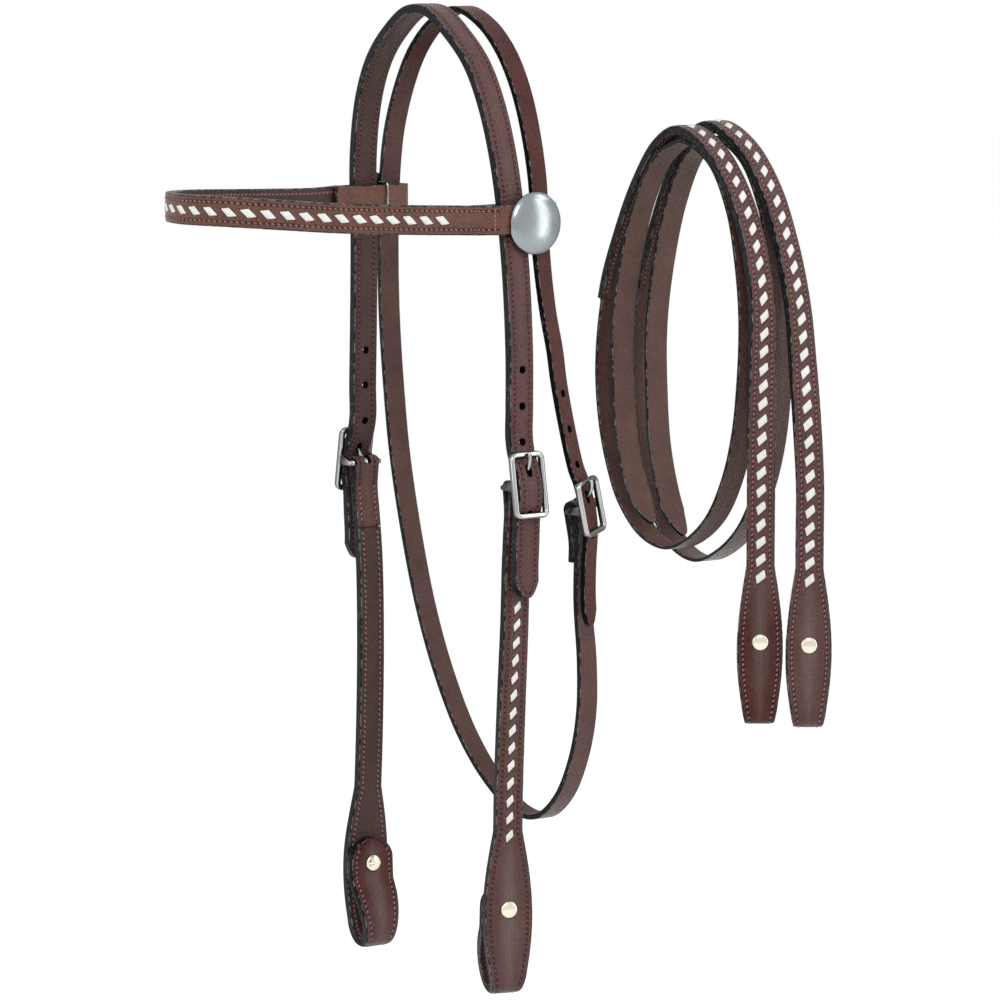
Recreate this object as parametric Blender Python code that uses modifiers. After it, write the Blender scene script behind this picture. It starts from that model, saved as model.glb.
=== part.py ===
"""Western headstall and its matching pair of split reins, hanging at rest. Metres, +Z up.

The origin is the middle of the crown's underside, where it rests on the poll. The horse's
near (left) side is +X, and the browband points towards -Y."""

import math

import bmesh
import bpy
from mathutils import Matrix, Vector

MM = 0.001

# Straps
STRAP_WIDTH = 16 * MM
PLY = 2.35 * MM
GAP = 0.3 * MM
THROAT_WIDTH = 12.7 * MM
THROAT_PLY = 3.2 * MM

# Overall layout
HALF_SPREAD = 73 * MM
SET_BACK = 9 * MM
CROWN_DROP = 258 * MM
CHEEK_LENGTH = 283 * MM
FAR_CHEEK_SHORTER = 6.5 * MM
THROAT_BACK = 25 * MM
THROAT_DROP = 456 * MM
BAND_REACH = 158 * MM
BAND_DROP = 109 * MM
BAND_RISE = 8 * MM
FAR_BAND_RISE = 3.8 * MM

# Cheek buckles
BUCKLE_WIDTH = 23 * MM
BUCKLE_HEIGHT = 37 * MM
BUCKLE_CORNER = 4.5 * MM
RAIL = 3.4 * MM
SIDE_RAIL = 3 * MM
FRAME_THICK = 3.2 * MM
BUCKLE_PITCH = 9
BAR_RADIUS = 1.5 * MM
LUG_THICK = 2 * MM
LUG_SPAN = 9 * MM
TONGUE_RADIUS = 1.15 * MM
TONGUE_PAST = 1.2 * MM
TONGUE_LIFT = 5
EYE_WIDTH = 3 * MM
BILLET_TAIL = 61 * MM
FAR_TAIL_SHORTER = 5 * MM
CHAPE_LENGTH = 37 * MM
HOLE_RADIUS = 2.1 * MM
HOLE_PITCH = 20 * MM
HOLE_COUNT = 3
TIP_LENGTH = 9 * MM
TIP_WIDTH = 3 * MM

# Throatlatch buckle
THROAT_BUCKLE_WIDTH = 22 * MM
THROAT_BUCKLE_HEIGHT = 32 * MM
THROAT_TAIL = 66 * MM
THROAT_BAR = (80 * MM, 44 * MM, -269 * MM)
THROAT_PITCH = 7
THROAT_HEADING = -22
THROAT_ROLL = 9
THROAT_CHAPE = 30 * MM

# Bit loops and their screws
FLARE_WIDTH = 28 * MM
REIN_FLARE_WIDTH = 26 * MM
FLARE_LENGTH = 48 * MM
LOOP_GAP = 10 * MM
LOOP_HEIGHT = 40 * MM
SEAT = 4 * MM
SCREW_PAST = 6 * MM
FLAP_PAST = 14 * MM
HEAD_RADIUS = 4.8 * MM
HEAD_THICK = 1.6 * MM
BARREL_RADIUS = 2.4 * MM
SHANK_RADIUS = 1.3 * MM
SLOT_WIDTH = 1.2 * MM
SLOT_DEPTH = 0.8 * MM

# Lacing
LACED_PLY = 2 * MM
LACE_PITCH = 9.9 * MM
LACE_WIDTH = 4.4 * MM
LACE_THICK = 0.4 * MM
LACE_LENGTH = 6.4 * MM
LACE_SKEW = 1.6 * MM
LACE_PROUD = 0.6 * MM
CHEEK_LACE_START = 67 * MM
CHEEK_LACE_STOP = 34 * MM
BAND_LACE_COUNT = 31
REIN_LACE_COUNT = 32
REIN_LACE_START = 88 * MM

# Browband loops and conchos
LOOP_ROOM = 8.6 * MM
LOOP_STRAP_SHARE = 0.945
LOOP_SLACK = 2.9 * MM
CONCHO_DROP = 2.5 * MM
CONCHO_RADIUS = 17.2 * MM
CONCHO_RISE = 5.2 * MM
CONCHO_WALL = 1.1 * MM
WIRE_RADIUS = 0.65 * MM

# Reins
REIN_BACK = 185 * MM
REIN_SPACING = 22 * MM
REIN_TOP = 66 * MM
REIN_HALF = 69.5 * MM
REIN_LOOP_DROP = 244.5 * MM
REIN_DROP = 337.5 * MM
REIN_OVERLAY_END = 498 * MM
REIN_SWING = 14 * MM
REIN_EXTRA_DROP = 2 * MM
REIN_LOOP_EXTRA = 11 * MM
SECOND_REIN_RISE = 2 * MM
FAR_REIN_SHARE = 0.93
NEAR_REIN_SHARE = 1.045

# Drawing
CYLINDER_SIDES = 12
HOLE_SIDES = 8
DOME_SIDES = 20
LONGEST_STEP = 24 * MM
SHORTEST_STEP = 1 * MM
FINEST_STEP = 0.6 * MM
MOST_TURN = 13
TWIST_WEIGHT = 4
OVERRUN = 1 * MM

LEATHER = (0.085, 0.028, 0.017)
LINING = (0.06, 0.026, 0.018)
WHITE = (0.82, 0.81, 0.77)
STEEL = (0.72, 0.71, 0.68)

CROWN_THICK = 2 * PLY + GAP
LACE_ROOM = 2 * GAP + LACE_THICK
FRAME_SET = CROWN_THICK / 2 + CROWN_THICK + 4 * GAP + FRAME_THICK / 2
LOOP_HALF = (LOOP_ROOM + PLY) / 2
SCREW_HEIGHT = LOOP_HEIGHT + SCREW_PAST
FLAP_HEIGHT = SCREW_HEIGHT + FLAP_PAST


def start():
    for thing in list(bpy.data.objects):
        bpy.data.objects.remove(thing)
    parts = bpy.data.collections.new("western_headstall")
    cutters = bpy.data.collections.new("cutters")
    for collection in (parts, cutters):
        bpy.context.scene.collection.children.link(collection)
    return parts, cutters


PARTS, CUTTERS = start()


def material(name, colour, roughness, metallic=0.0):
    made = bpy.data.materials.new(name)
    made.use_nodes = True
    shader = made.node_tree.nodes["Principled BSDF"]
    shader.inputs["Base Color"].default_value = (*colour, 1)
    shader.inputs["Roughness"].default_value = roughness
    shader.inputs["Metallic"].default_value = metallic
    made.diffuse_color = (*colour, 1)
    return made


def finish(name, mesh, origin, colour, roughness, metallic=0.0):
    made = bpy.data.objects.new(name, mesh)
    made.location = origin
    mesh.materials.append(material(name, colour, roughness, metallic))
    PARTS.objects.link(made)
    return made


def as_cutter(mesh, name):
    made = bpy.data.objects.new(name, mesh)
    made.hide_render = True
    made.display_type = "WIRE"
    CUTTERS.objects.link(made)
    return made


def combine(target, other, operation):
    modifier = target.modifiers.new(other.name, "BOOLEAN")
    modifier.operation = operation
    modifier.object = other


# Routes


FLAT = "flat"


def level_width(heading):
    """A level direction, by its angle in degrees from +Y towards +X."""
    turn = math.radians(heading)
    return Vector((math.sin(turn), math.cos(turn), 0))


def catmull(p0, p1, p2, p3, share):
    """A point between p1 and p2 on the centripetal curve through four rows of numbers."""
    knots = [0.0]
    for a, b in ((p0, p1), (p1, p2), (p2, p3)):
        run = math.dist(a[:3], b[:3])
        knots.append(knots[-1] + math.sqrt(run))
    t = knots[1] + (knots[2] - knots[1]) * share

    def mix(a, b, ta, tb):
        return [(tb - t) / (tb - ta) * x + (t - ta) / (tb - ta) * y for x, y in zip(a, b)]

    a1 = mix(p0, p1, knots[0], knots[1])
    a2 = mix(p1, p2, knots[1], knots[2])
    a3 = mix(p2, p3, knots[2], knots[3])
    b1 = mix(a1, a2, knots[0], knots[2])
    b2 = mix(a2, a3, knots[1], knots[3])
    return mix(b1, b2, knots[1], knots[2])


def dense(rows):
    """The smooth curve through the rows, as many rows close together, and where in it each of
    the rows is."""
    before = [2 * a - b for a, b in zip(rows[0], rows[1])]
    after = [2 * a - b for a, b in zip(rows[-1], rows[-2])]
    padded = [before, *rows, after]
    fine, starts = [], []
    for p0, p1, p2, p3 in zip(padded, padded[1:], padded[2:], padded[3:]):
        starts.append(len(fine))
        count = max(2, math.ceil(math.dist(p1[:3], p2[:3]) / FINEST_STEP))
        fine.extend(catmull(p0, p1, p2, p3, k / count) for k in range(count))
    starts.append(len(fine))
    fine.append(list(rows[-1]))
    return fine, starts


class Route:
    """A smooth line with a width direction. Each row is a place and a width direction. Rows
    that also say FLAT come in pairs, with one flat facet between the two."""

    def __init__(self, rows, flip=1):
        fine, starts = dense([[*row[0], *row[1]] for row in rows])
        held = [start for start, row in zip(starts, rows) if FLAT in row[2:]]
        self.places = [Vector(row[:3]) for row in fine]
        self.lengths = [0.0]
        for a, b in zip(self.places, self.places[1:]):
            self.lengths.append(self.lengths[-1] + (b - a).length)
        self.length = self.lengths[-1]
        self.tangents = []
        for k in range(len(fine)):
            run = self.places[min(k + 1, len(fine) - 1)] - self.places[max(k - 1, 0)]
            self.tangents.append(run.normalized())
        flats = list(zip(held[::2], held[1::2]))
        for a, b in flats:
            along = (self.places[b] - self.places[a]).normalized()
            self.tangents[a] = self.tangents[b] = along
        self.widths = []
        self.outs = []
        for row, tangent in zip(fine, self.tangents):
            wide = Vector(row[3:])
            wide = (wide - tangent * wide.dot(tangent)).normalized()
            self.widths.append(wide)
            self.outs.append(wide.cross(tangent) * flip)
        self.marks = self.corners(flats)

    def corners(self, flats):
        """The points that are kept: close where the route turns or twists, far apart where not."""
        kept = [0]
        turned = 0.0
        for k in range(1, len(self.places)):
            bend = math.degrees(self.tangents[k].angle(self.tangents[k - 1]))
            twist = math.degrees(self.widths[k].angle(self.widths[k - 1]))
            turned += max(bend, TWIST_WEIGHT * twist)
            run = self.lengths[k] - self.lengths[kept[-1]]
            within = any(a < k < b for a, b in flats)
            held = any(k in flat for flat in flats)
            if held and run < SHORTEST_STEP:
                kept.pop()
            if held or not within and (turned >= MOST_TURN or run >= LONGEST_STEP):
                kept.append(k)
                turned = 0.0
        if self.length - self.lengths[kept[-1]] < SHORTEST_STEP:
            kept.pop()
        return kept + [len(self.places) - 1]

    def at(self, length):
        """Place, width direction and outward direction at this length, on the straight run
        between two kept points, so that every ply along a route has the same facets."""
        low, high = 0, len(self.marks) - 1
        while high - low > 1:
            middle = (low + high) // 2
            before = self.lengths[self.marks[middle]] <= length
            low, high = (middle, high) if before else (low, middle)
        a, b = self.marks[low], self.marks[high]
        share = (length - self.lengths[a]) / (self.lengths[b] - self.lengths[a])
        share = min(1.0, max(0.0, share))
        return [rows[a].lerp(rows[b], share) for rows in (self.places, self.widths, self.outs)]

    def stops(self, first, last, extra=()):
        """Lengths for the rings of a strap from first to last."""
        found = [first, last]
        for stop in [*extra, *(self.lengths[k] for k in self.marks)]:
            if first < stop < last and min(abs(stop - other) for other in found) > SHORTEST_STEP:
                found.append(stop)
        return sorted(found)


def loft(rings, origin):
    """A closed mesh through rings of equally many points, capped at both ends."""
    shape = bmesh.new()
    placed = [[shape.verts.new(point - origin) for point in ring] for ring in rings]
    for a, b in zip(placed, placed[1:]):
        for k in range(len(a)):
            nearby = (k + 1) % len(a)
            shape.faces.new((a[k], a[nearby], b[nearby], b[k]))
    shape.faces.new(placed[0][::-1])
    shape.faces.new(placed[-1])
    return facing_out(shape)


def facing_out(shape):
    if shape.calc_volume(signed=True) < 0:
        bmesh.ops.reverse_faces(shape, faces=shape.faces[:])
    return shape


def strap_rings(route, first, last, half_width, inner, outer, extra=()):
    """Rings of a flat strap. half_width is a number or a function of length; inner and outer
    are how far its two faces lie out from the route."""
    rings = []
    for stop in route.stops(first, last, extra):
        place, wide, out = route.at(stop)
        half = half_width(stop) if callable(half_width) else half_width
        rings.append(
            [
                place - wide * half + out * inner,
                place + wide * half + out * inner,
                place + wide * half + out * outer,
                place - wide * half + out * outer,
            ]
        )
    return rings


def mesh_of(shape, name):
    mesh = bpy.data.meshes.new(name)
    shape.to_mesh(mesh)
    shape.free()
    return mesh


def strap(name, rings, origin, colour=LEATHER):
    return finish(name, mesh_of(loft(rings, origin), name), origin, colour, 0.5)


def merged(shapes):
    """One bmesh that holds several."""
    whole = bmesh.new()
    for shape in shapes:
        mesh = mesh_of(shape, "piece")
        whole.from_mesh(mesh)
        bpy.data.meshes.remove(mesh)
    return whole


def tapered(full, start_taper, end_taper, end_half, length):
    """A half width that narrows to end_half over a tip at either end of a strap."""

    def half(stop):
        share = 1.0
        if start_taper:
            share = min(share, stop / start_taper)
        if end_taper:
            share = min(share, (length - stop) / end_taper)
        return end_half + (full - end_half) * math.sqrt(max(0.0, min(1.0, share)))

    return half


def cylinder(place, along, radius, length, sides=CYLINDER_SIDES):
    shape = bmesh.new()
    bmesh.ops.create_cone(
        shape, cap_ends=True, segments=sides, radius1=radius, radius2=radius, depth=length
    )
    turn = along.to_track_quat("Z", "Y").to_matrix().to_4x4()
    bmesh.ops.transform(shape, matrix=Matrix.Translation(place) @ turn, verts=shape.verts[:])
    return shape


def punch(target, route, lengths, radius, name):
    """Round holes through a strap."""
    depth = 4 * CROWN_THICK
    shapes = []
    for length in lengths:
        place, _, out = route.at(length)
        shapes.append(cylinder(place, out, radius, depth, HOLE_SIDES))
    combine(target, as_cutter(mesh_of(merged(shapes), name), name), "DIFFERENCE")


def edge_rows(route, lengths, half_width, low, high):
    """Rows across a ply at these lengths: for either edge, its points on both faces."""
    rows = []
    for stop in lengths:
        place, wide, out = route.at(stop)
        half = half_width(stop) if callable(half_width) else half_width
        edges = [place + wide * side * half for side in (-1, 1)]
        rows.append([(edge + out * low, edge + out * high) for edge in edges])
    return rows


def slanted_points(route, length, half, level):
    """Two points across the strap's middle, one ahead of the other."""
    points = []
    for across in (-1, 1):
        place, wide, out = route.at(length + across * LACE_SKEW / 2)
        points.append(place + wide * across * half + out * level)
    return points


def laced_rows(route, middles, half_width, low, high):
    """Rows of four places at both ends of each lacing window."""
    rows = []
    for middle in middles:
        for end in (-1, 1):
            length = middle + end * (LACE_LENGTH / 2 + GAP)
            left, right = edge_rows(route, [length], half_width, low, high)[0]
            faces = [
                slanted_points(route, length, LACE_WIDTH / 2 + GAP, level)
                for level in (low, high)
            ]
            rows.append([left, *zip(*faces), right])
    return rows


def windowed_ply(name, rows, origin, colour=LEATHER):
    """A ply through rows of two or four places across it, each a point on both faces. The
    rows of four come in pairs, and the ply is open between the two middle places of a pair."""
    shape = bmesh.new()
    placed = [
        [[shape.verts.new(point - origin) for point in place] for place in row] for row in rows
    ]

    def faces(*places):
        shape.faces.new([place[0] for place in places])
        shape.faces.new([place[1] for place in places[::-1]])

    def wall(a, b):
        shape.faces.new((a[0], b[0], b[1], a[1]))

    opens = False
    for a, b in zip(placed, placed[1:]):
        if len(a) == len(b) == 4:
            opens = not opens
        if len(a) == len(b) == 4 and opens:
            faces(a[0], a[1], b[1], b[0])
            faces(a[2], a[3], b[3], b[2])
            for c, d in ((a[1], a[2]), (a[2], b[2]), (b[2], b[1]), (b[1], a[1])):
                wall(c, d)
        elif len(a) == len(b):
            for n in range(len(a) - 1):
                faces(a[n], a[n + 1], b[n + 1], b[n])
        elif len(a) == 2:
            faces(a[0], b[1], b[0])
            faces(a[0], a[1], b[2], b[1])
            faces(a[1], b[3], b[2])
        else:
            faces(a[0], a[1], b[0])
            faces(a[1], a[2], b[1], b[0])
            faces(a[2], a[3], b[1])
        wall(a[0], b[0])
        wall(a[-1], b[-1])
    for row in (placed[0], placed[-1]):
        wall(row[0], row[1])
    bmesh.ops.recalc_face_normals(shape, faces=shape.faces[:])
    return finish(name, mesh_of(facing_out(shape), name), origin, colour, 0.5)


def laced_ply(name, route, first, last, half_width, low, high, middles, extra, origin, before=()):
    """A ply from first to last with a window round each of these middles."""
    start, end = middles[0] - LACE_PITCH / 2, middles[-1] + LACE_PITCH / 2
    rows = list(before)
    rows += edge_rows(route, route.stops(first, start, extra), half_width, low, high)
    rows += laced_rows(route, middles, half_width, low, high)
    rows += edge_rows(route, route.stops(end, last, extra), half_width, low, high)
    return windowed_ply(name, rows, origin)


def lace(name, route, middles, under, over, origin):
    """A flat lace that runs under a ply and comes out over it at each of its windows."""
    low = under + LACE_THICK / 2
    high = over + LACE_PROUD - LACE_THICK / 2
    levels = [(-0.5, low), (-0.36, high), (0.36, high), (0.5, low)]
    points = [(middles[0] - 0.7 * LACE_LENGTH, low)]
    points += [(middle + shift * LACE_LENGTH, level) for middle in middles for shift, level in levels]
    points += [(middles[-1] + 0.7 * LACE_LENGTH, low)]
    rings = []
    for length, level in points:
        below, above = (
            slanted_points(route, length, LACE_WIDTH / 2, level + face * LACE_THICK / 2)
            for face in (-1, 1)
        )
        rings.append(below + above[::-1])
    finish(name, mesh_of(loft(rings, origin), name), origin, WHITE, 0.6)


# Crown. Each row: shares of HALF_SPREAD, SET_BACK and CROWN_DROP.
CROWN_SIDE_SHARES = (
    (0.125, 0.00, 0.000),
    (0.408, 0.02, 0.049),
    (0.623, 0.12, 0.108),
    (0.785, 0.25, 0.192),
    (0.905, 0.50, 0.319),
    (0.968, 0.90, 0.513),
    (1.003, 1.03, 0.706),
    (1.010, 1.00, 0.835),
)
BAR_SHARE = 0.993


def under_rails(height, set_out, pitch, half_strap):
    """How far out a billet's middle lies where it passes under the top rail of a buckle and
    under its bottom one, and the two rails' heights."""
    rail_at = (height - RAIL) / 2
    turn = math.radians(pitch)
    found = []
    for side in (1, -1):
        up = side * rail_at * math.cos(turn) + set_out * math.sin(turn)
        away = set_out * math.cos(turn) - side * rail_at * math.sin(turn)
        found.append((up, away - FRAME_THICK / 2 - 1.5 * GAP - half_strap))
    return found


def side_rows(shares, side):
    top = CROWN_THICK / 2
    rows = [
        ((side * x * HALF_SPREAD, y * SET_BACK, top - z * CROWN_DROP), level_width(0))
        for x, y, z in shares
    ]
    return [(*rows[0], FLAT), *rows[1:]]


def bar_place(side):
    """The middle of a cheek buckle's bar."""
    return Vector((side * BAR_SHARE * HALF_SPREAD, SET_BACK, CROWN_THICK / 2 - CROWN_DROP))


def billet_tail(side):
    return BILLET_TAIL - (FAR_TAIL_SHORTER if side < 0 else 0)


def billet_rows(side):
    """The crown's end through its buckle: under the top rail, over the bar, under the bottom
    rail, and down to the tip. Heights are out from the bar."""
    bar = bar_place(side)
    top, bottom = under_rails(BUCKLE_HEIGHT, FRAME_SET, BUCKLE_PITCH, CROWN_THICK / 2)
    over_bar = BAR_RADIUS + GAP + LACED_PLY + 3 * GAP + CROWN_THICK / 2
    over_cheek = CROWN_THICK / 2 + 1.3 * GAP + CROWN_THICK / 2
    tail = billet_tail(side)
    down = tail + bottom[0]
    heights = (
        (1.5 * top[0], 0.35 * top[1]),
        top,
        (0.5 * top[0], (over_bar + top[1]) / 2),
        (0, over_bar),
        (bottom[0], min(bottom[1], 1.1 * over_bar)),
        (bottom[0] - 0.35 * down, 1.3 * over_cheek),
        (bottom[0] - 0.7 * down, 1.15 * over_cheek),
        (-tail, 1.35 * over_cheek),
    )
    return [((bar.x + side * n, bar.y, bar.z + u), level_width(0)) for u, n in heights]


def crown_route():
    near = side_rows(CROWN_SIDE_SHARES, 1) + billet_rows(1)
    far = side_rows(CROWN_SIDE_SHARES, -1) + billet_rows(-1)
    return Route(near[::-1] + far)


def billet_holes(tail, height):
    """How far from a billet's tip its free holes are. The tongue bears on the upper edge of
    the hole that it is in."""
    tongue_hole = tail + (height - RAIL) / 4 - HOLE_RADIUS
    return [tongue_hole + k * HOLE_PITCH for k in range(-1, HOLE_COUNT + 1) if k]


def crown():
    """Two stitched plies from billet tip to billet tip, punched for the tongues."""
    route = crown_route()
    half = tapered(STRAP_WIDTH / 2, TIP_LENGTH, TIP_LENGTH, TIP_WIDTH / 2, route.length)
    origin = Vector((0, 0, 0))
    ends = (TIP_LENGTH / 3, route.length - TIP_LENGTH / 3, TIP_LENGTH, route.length - TIP_LENGTH)
    plies = (
        ("crown_outer_ply", GAP / 2, GAP / 2 + PLY, LEATHER),
        ("crown_lining_ply", -GAP / 2 - PLY, -GAP / 2, LINING),
    )
    both = billet_holes(billet_tail(1), BUCKLE_HEIGHT)
    both += [route.length - hole for hole in billet_holes(billet_tail(-1), BUCKLE_HEIGHT)]
    for name, low, high, colour in plies:
        rings = strap_rings(route, 0, route.length, half, low, high, ends)
        ply = strap(name, rings, origin, colour)
        punch(ply, route, both, HOLE_RADIUS, name + "_holes")
        for side in (1, -1):
            tongue_clearance(ply, side, name)
    return route


# Buckles are drawn with the strap's length along Y, its width along X and its outside along Z.


def buckle_matrix(place, heading, side, roll=0.0, pitch=0.0):
    """Turns a buckle's own axes to the world: X to the width, Y up the strap, Z outwards.
    pitch tips its lower rail outwards about the bar."""
    wide = level_width(heading)
    out = wide.cross(Vector((0, 0, 1))) * side
    up = Matrix.Rotation(math.radians(roll), 3, out) @ Vector((0, 0, 1))
    wide = up.cross(out)
    rows = Matrix((wide, up, out)).transposed().to_4x4()
    return Matrix.Translation(place) @ rows @ Matrix.Rotation(math.radians(-pitch), 4, "X")


def rounded_rectangle(width, height, radius):
    """Corner points of a rectangle whose corners are quarter circles."""
    points = []
    for quarter in range(4):
        across = (width / 2 - radius) * (1 if quarter in (0, 3) else -1)
        along = (height / 2 - radius) * (1 if quarter in (0, 1) else -1)
        for k in range(4):
            angle = math.pi / 2 * (quarter + k / 3)
            points.append((across + radius * math.cos(angle), along + radius * math.sin(angle)))
    return points


def plate(outlines, thickness):
    """A flat plate in the XY plane from 2D outlines, the later ones being its openings."""
    curve = bpy.data.curves.new("outline", "CURVE")
    curve.dimensions = "2D"
    curve.fill_mode = "BOTH"
    curve.extrude = thickness / 2
    for points in outlines:
        spline = curve.splines.new("POLY")
        spline.points.add(len(points) - 1)
        for point, (x, y) in zip(spline.points, points):
            point.co = (x, y, 0, 1)
        spline.use_cyclic_u = True
    drawn = bpy.data.objects.new("outline", curve)
    bpy.context.scene.collection.objects.link(drawn)
    graph = bpy.context.evaluated_depsgraph_get()
    mesh = bpy.data.meshes.new_from_object(drawn.evaluated_get(graph))
    shape = bmesh.new()
    shape.from_mesh(mesh)
    bpy.data.objects.remove(drawn)
    bpy.data.meshes.remove(mesh)
    bmesh.ops.remove_doubles(shape, verts=shape.verts[:], dist=GAP / 100)
    bmesh.ops.recalc_face_normals(shape, faces=shape.faces[:])
    return shape


def turned(name, profile, sides):
    """A mesh turned about Z from a profile of (radius, height) that runs from top to bottom."""
    mesh = bpy.data.meshes.new(name)
    closed = [(k, (k + 1) % len(profile)) for k in range(len(profile))]
    if profile[0][0] == 0:
        closed.pop()
    mesh.from_pydata([(r, 0, z) for r, z in profile], closed, [])
    made = bpy.data.objects.new(name, mesh)
    screw = made.modifiers.new("Screw", "SCREW")
    screw.steps = sides
    screw.render_steps = sides
    screw.use_merge_vertices = True
    screw.merge_threshold = GAP / 30
    screw.use_smooth_shade = True
    return made


def buckle_frame(name, matrix, width, height, set_out):
    """A frame with its bar set back on two V-shaped lugs."""
    outer = rounded_rectangle(width, height, BUCKLE_CORNER)
    inner = rounded_rectangle(
        width - 2 * SIDE_RAIL, height - 2 * RAIL, BUCKLE_CORNER - SIDE_RAIL / 2
    )
    shape = plate((outer, inner), FRAME_THICK)
    bmesh.ops.translate(shape, verts=shape.verts[:], vec=(0, 0, set_out))
    made = finish(name, mesh_of(shape, name), (0, 0, 0), STEEL, 0.2, 1)
    made.matrix_world = matrix

    top = set_out - FRAME_THICK / 4
    outline = (
        (-LUG_SPAN / 2, top),
        (-BAR_RADIUS, 0),
        (-BAR_RADIUS / 2, -BAR_RADIUS),
        (BAR_RADIUS / 2, -BAR_RADIUS),
        (BAR_RADIUS, 0),
        (LUG_SPAN / 2, top),
    )
    for side in (-1, 1):
        lug = plate((outline,), LUG_THICK)
        across = side * (width - SIDE_RAIL) / 2
        upright = Matrix(((0, 0, 1, across), (1, 0, 0, 0), (0, 1, 0, 0), (0, 0, 0, 1)))
        bmesh.ops.transform(lug, matrix=upright, verts=lug.verts[:])
        helper = as_cutter(mesh_of(lug, name + "_lug"), name + "_lug")
        helper.matrix_world = matrix
        combine(made, helper, "UNION")
    bar = cylinder(Vector((0, 0, 0)), Vector((1, 0, 0)), BAR_RADIUS, width - SIDE_RAIL)
    helper = as_cutter(mesh_of(bar, name + "_bar"), name + "_bar")
    helper.matrix_world = matrix
    combine(made, helper, "UNION")
    return made


def tongue_path(height, set_out):
    """Middle line of a tongue: out through the billet, then over the top rail."""
    rail_at = (height - RAIL) / 2
    over_rail = set_out + FRAME_THICK / 2 + GAP + TONGUE_RADIUS
    through = Vector((0.36 * rail_at, 0.53 * over_rail))
    return [
        through.normalized() * (BAR_RADIUS + 2 * GAP),
        through,
        (0.57 * rail_at, 0.84 * over_rail),
        (0.80 * rail_at, 0.975 * over_rail),
        (rail_at + TONGUE_PAST, over_rail),
    ]


def rod(points, radius, sides, lean=0.0):
    """A round rod in the YZ plane through points (y, z), turned by lean degrees about X."""
    turn = Matrix.Rotation(math.radians(lean), 3, "X")
    centres = [turn @ Vector((0, y, z)) for y, z in points]
    rings = []
    for k, centre in enumerate(centres):
        run = centres[min(k + 1, len(centres) - 1)] - centres[max(k - 1, 0)]
        up = Vector((1, 0, 0)).cross(run.normalized())
        ring = []
        for n in range(sides):
            angle = 2 * math.pi * n / sides
            ring.append(
                centre + Vector((math.cos(angle) * radius, 0, 0)) + up * math.sin(angle) * radius
            )
        rings.append(ring)
    return loft(rings, Vector((0, 0, 0)))


def tongue(name, matrix, height, set_out):
    """A tongue on its eye, with the eye round the bar."""
    made = finish(
        name,
        mesh_of(rod(tongue_path(height, set_out), TONGUE_RADIUS, 8), name),
        (0, 0, 0),
        STEEL,
        0.2,
        1,
    )
    made.matrix_world = matrix
    bore = BAR_RADIUS + GAP
    wall = bore + TONGUE_RADIUS
    profile = [
        (bore, EYE_WIDTH / 2),
        (wall, EYE_WIDTH / 2),
        (wall, -EYE_WIDTH / 2),
        (bore, -EYE_WIDTH / 2),
    ]
    eye = turned(name + "_eye", profile, CYLINDER_SIDES)
    eye.hide_render = True
    eye.display_type = "WIRE"
    CUTTERS.objects.link(eye)
    eye.matrix_world = matrix @ Matrix.Rotation(math.pi / 2, 4, "Y")
    combine(made, eye, "UNION")
    return made


def tongue_tunnel(name, matrix, height, set_out):
    """What a strap leaves free for the tongue, also when it is lifted a little."""
    radius = TONGUE_RADIUS + 3 * GAP
    path = tongue_path(height, set_out)
    shape = rod(path, radius, 10, TONGUE_LIFT / 2)
    helper = as_cutter(mesh_of(shape, name), name)
    helper.matrix_world = matrix
    return helper


def chape_slot(name, matrix, ply_thick, target):
    """Opens a chape's fold round the tongue's eye, but not the billet that lies over it."""
    reach = BAR_RADIUS + GAP + ply_thick + GAP / 2
    below = BAR_RADIUS + TONGUE_RADIUS + 2.5 * GAP
    slot = bmesh.new()
    bmesh.ops.create_cube(slot, size=1)
    size = Matrix.Diagonal((EYE_WIDTH + 3 * GAP, reach + below, 2 * reach, 1))
    bmesh.ops.transform(slot, matrix=size, verts=slot.verts[:])
    bmesh.ops.translate(slot, verts=slot.verts[:], vec=(0, (reach - below) / 2, 0))
    helper = as_cutter(mesh_of(slot, name), name)
    helper.matrix_world = matrix
    combine(target, helper, "DIFFERENCE")


def cheek_buckle_matrix(side):
    return buckle_matrix(bar_place(side), 0, side, 0, BUCKLE_PITCH)


def tongue_clearance(ply, side, name):
    helper = tongue_tunnel(
        f"{name}_tunnel_{side}", cheek_buckle_matrix(side), BUCKLE_HEIGHT, FRAME_SET
    )
    combine(ply, helper, "DIFFERENCE")


# Bit loops


def fold_rows():
    """The fold at the end of a doubled strap, as (out from the strap, up from the bottom)."""
    radius = (LOOP_GAP + CROWN_THICK) / 2
    flap = -(CROWN_THICK + GAP)
    back = -2 * radius
    rows = [(0, 2 * radius)]
    for quarter in (0, 1, 3, 4):
        angle = math.pi * quarter / 4
        if quarter == 3:
            rows += [(SEAT / 2 - radius, 0, FLAT), (-SEAT / 2 - radius, 0, FLAT)]
        rows.append((radius * (math.cos(angle) - 1), radius * (1 - math.sin(angle))))
    rows += [
        (0.98 * back, 0.40 * LOOP_HEIGHT),
        (0.74 * back, 0.66 * LOOP_HEIGHT),
        (flap - 2 * GAP, 0.88 * LOOP_HEIGHT),
        (flap, LOOP_HEIGHT),
        (flap, SCREW_HEIGHT + HEAD_RADIUS),
        (flap, FLAP_HEIGHT),
    ]
    return rows


def placed_fold(bottom, heading, side):
    """fold_rows at a strap's bottom, in the world."""
    out = level_width(heading).cross(Vector((0, 0, 1))) * side
    rows = []
    for away, up, *flat in fold_rows():
        place = bottom + out * away + Vector((0, 0, up))
        rows.append((place, level_width(heading), *flat))
    return rows


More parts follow.
